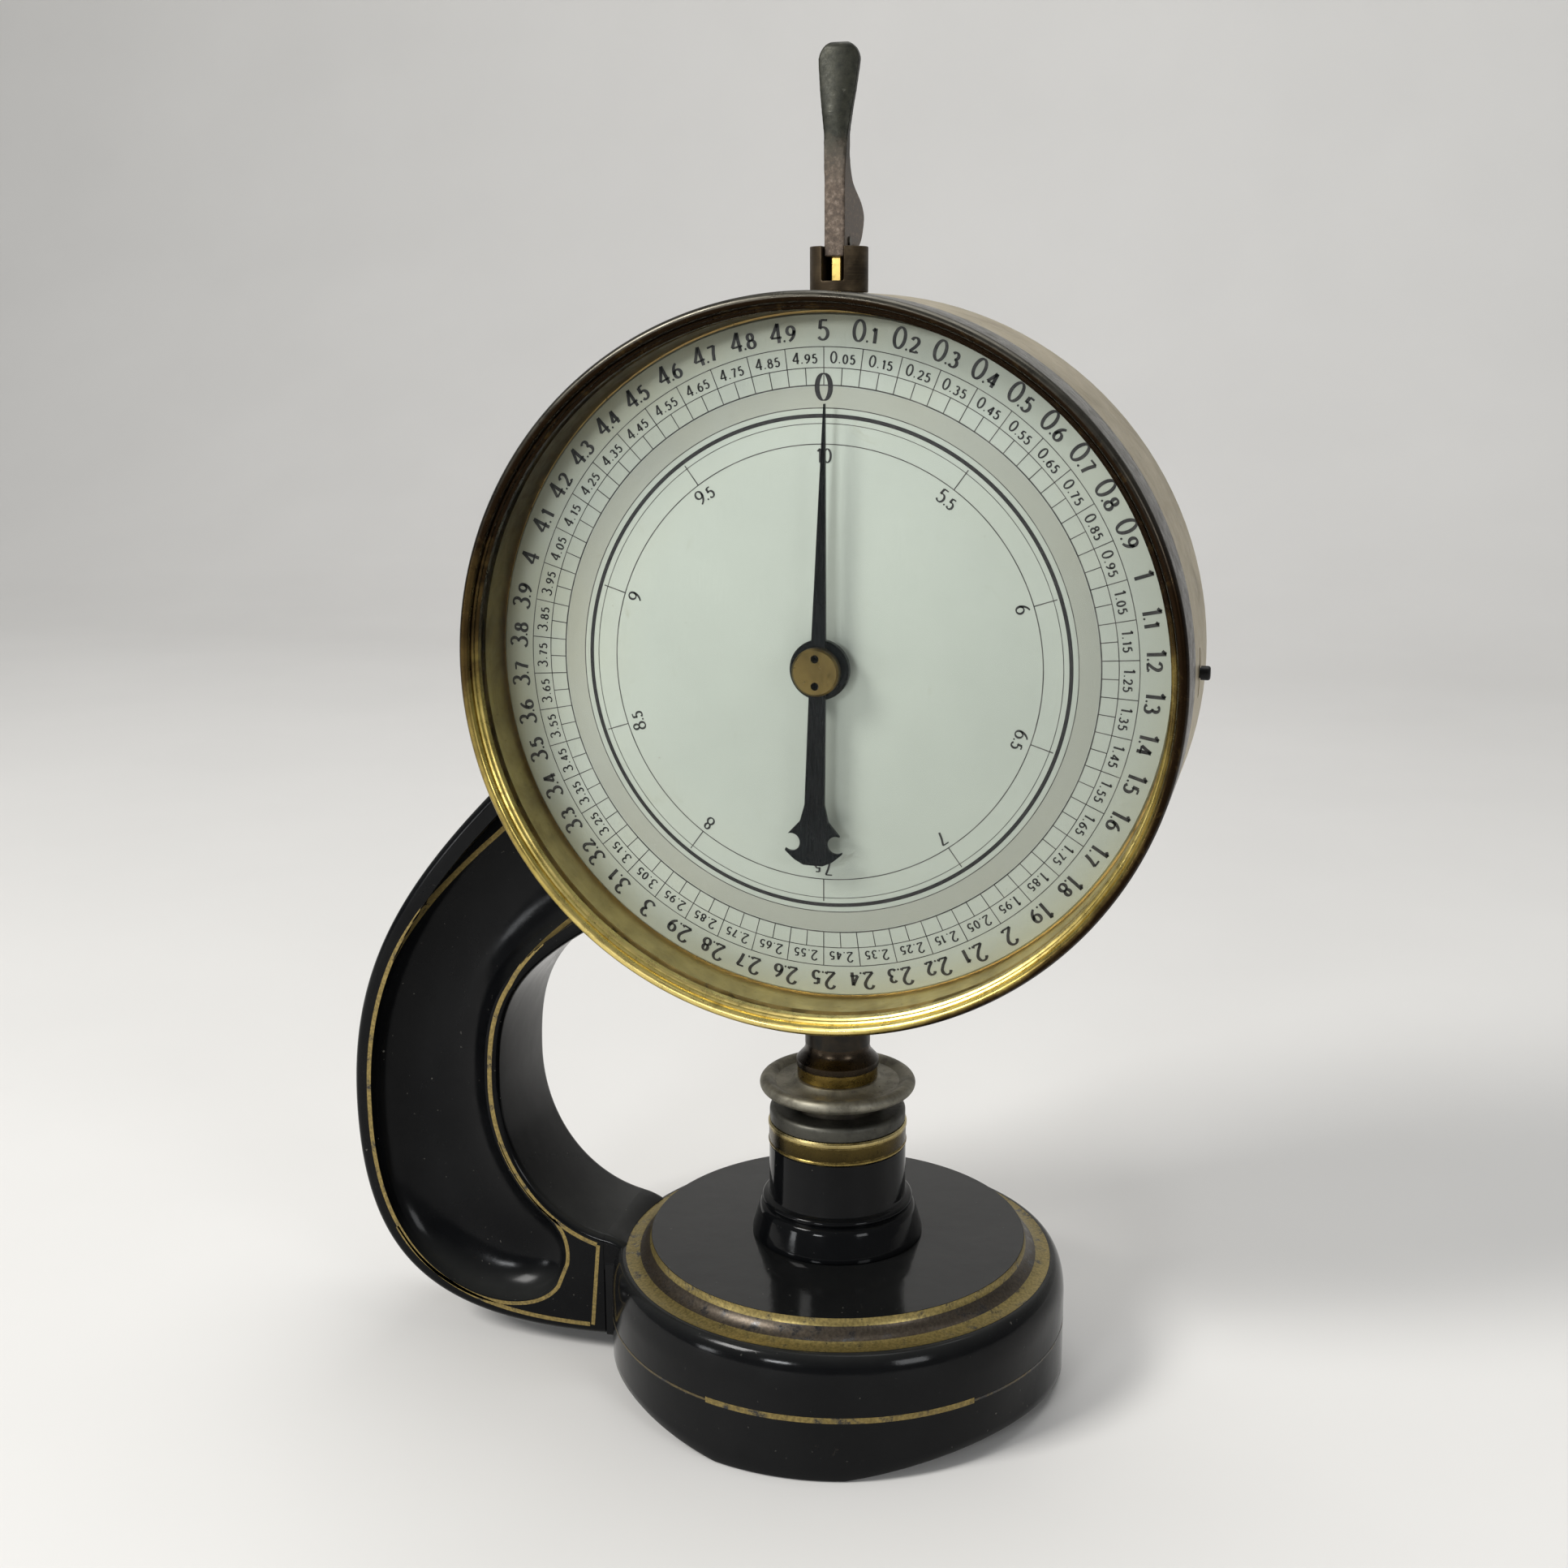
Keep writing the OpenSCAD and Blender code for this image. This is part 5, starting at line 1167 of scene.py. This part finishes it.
def make_stage():
    section = [(FLOOR_FRONT, 0.0), (BEND_Y, 0.0)]
    section += [(BEND_Y + BEND_R * sin(a), BEND_R - BEND_R * cos(a)) for a in sweep(10, 90, 8)]
    section.append((BEND_Y + BEND_R, WALL_H))
    verts = [(x, y, z) for x in (-FLOOR_HALF, FLOOR_HALF) for y, z in section]
    mesh = bpy.data.meshes.new("floor")
    mesh.from_pydata(verts, [], quads(2, len(section), False, False))
    smooth_faces(mesh)
    mesh.materials.append(plain("pale_floor", (0.74, 0.73, 0.71), 0.6))
    obj = link_object("floor", mesh)


make_stage()


def area(name, place, aim, size, power, colour):
    """A rectangular lamp, turned to a height on the middle axis."""
    data = bpy.data.lights.new(name, "AREA")
    data.shape = "RECTANGLE"
    data.size, data.size_y = size
    data.energy = power
    data.color = colour
    obj = link_object(name, data)
    obj.location = place
    obj.rotation_euler = (Vector((0, 0, aim)) - Vector(place)).to_track_quat("-Z", "Y").to_euler()


WARM, COOL, WHITE = (1.0, 0.985, 0.96), (0.96, 0.98, 1.0), (1, 1, 1)
area("key", (-0.70, -0.70, 0.90), 0.11, (0.38, 0.38), 13, WARM)
area("window", (-0.26, -1.12, 0.40), 0.05, (0.22, 0.12), 2.6, COOL)
area("fill", (0.90, -0.75, 0.42), 0.11, (0.30, 0.30), 2.2, COOL)
area("glint", (-0.86, -0.78, 0.12), 0.03, (0.16, 0.12), 0.7, COOL)
area("top", (0.1, 0.25, 1.2), 0.1, (0.9, 0.7), 5.5, WHITE)

world = bpy.data.worlds.new("studio")
scene.world = world
world.use_nodes = True
background = world.node_tree.nodes["Background"]
background.inputs[0].default_value = (0.86, 0.87, 0.88, 1)
background.inputs[1].default_value = 0.32

# The camera's place and turn were fitted to the photo
EYE = Vector((0.0792 + AX * MM, -0.3118, 0.1815))
YAW, PITCH, ROLL = radians(-15.88), radians(-13.13), radians(-0.26)
camera_data = bpy.data.cameras.new("camera")
camera_data.sensor_width = 36
camera_data.lens = 44.9
camera_data.clip_start = 0.01
camera = link_object("camera", camera_data)
forward = Vector((sin(YAW) * cos(PITCH), cos(YAW) * cos(PITCH), sin(PITCH)))
level = Vector((cos(YAW), -sin(YAW), 0))
upright = level.cross(forward)
right = level * cos(ROLL) + upright * sin(ROLL)
upward = upright * cos(ROLL) - level * sin(ROLL)
turn = Matrix((right, upward, -forward)).transposed()
camera.matrix_world = Matrix.Translation(EYE) @ turn.to_4x4()
scene.camera = camera
scene.view_settings.view_transform = "Standard"
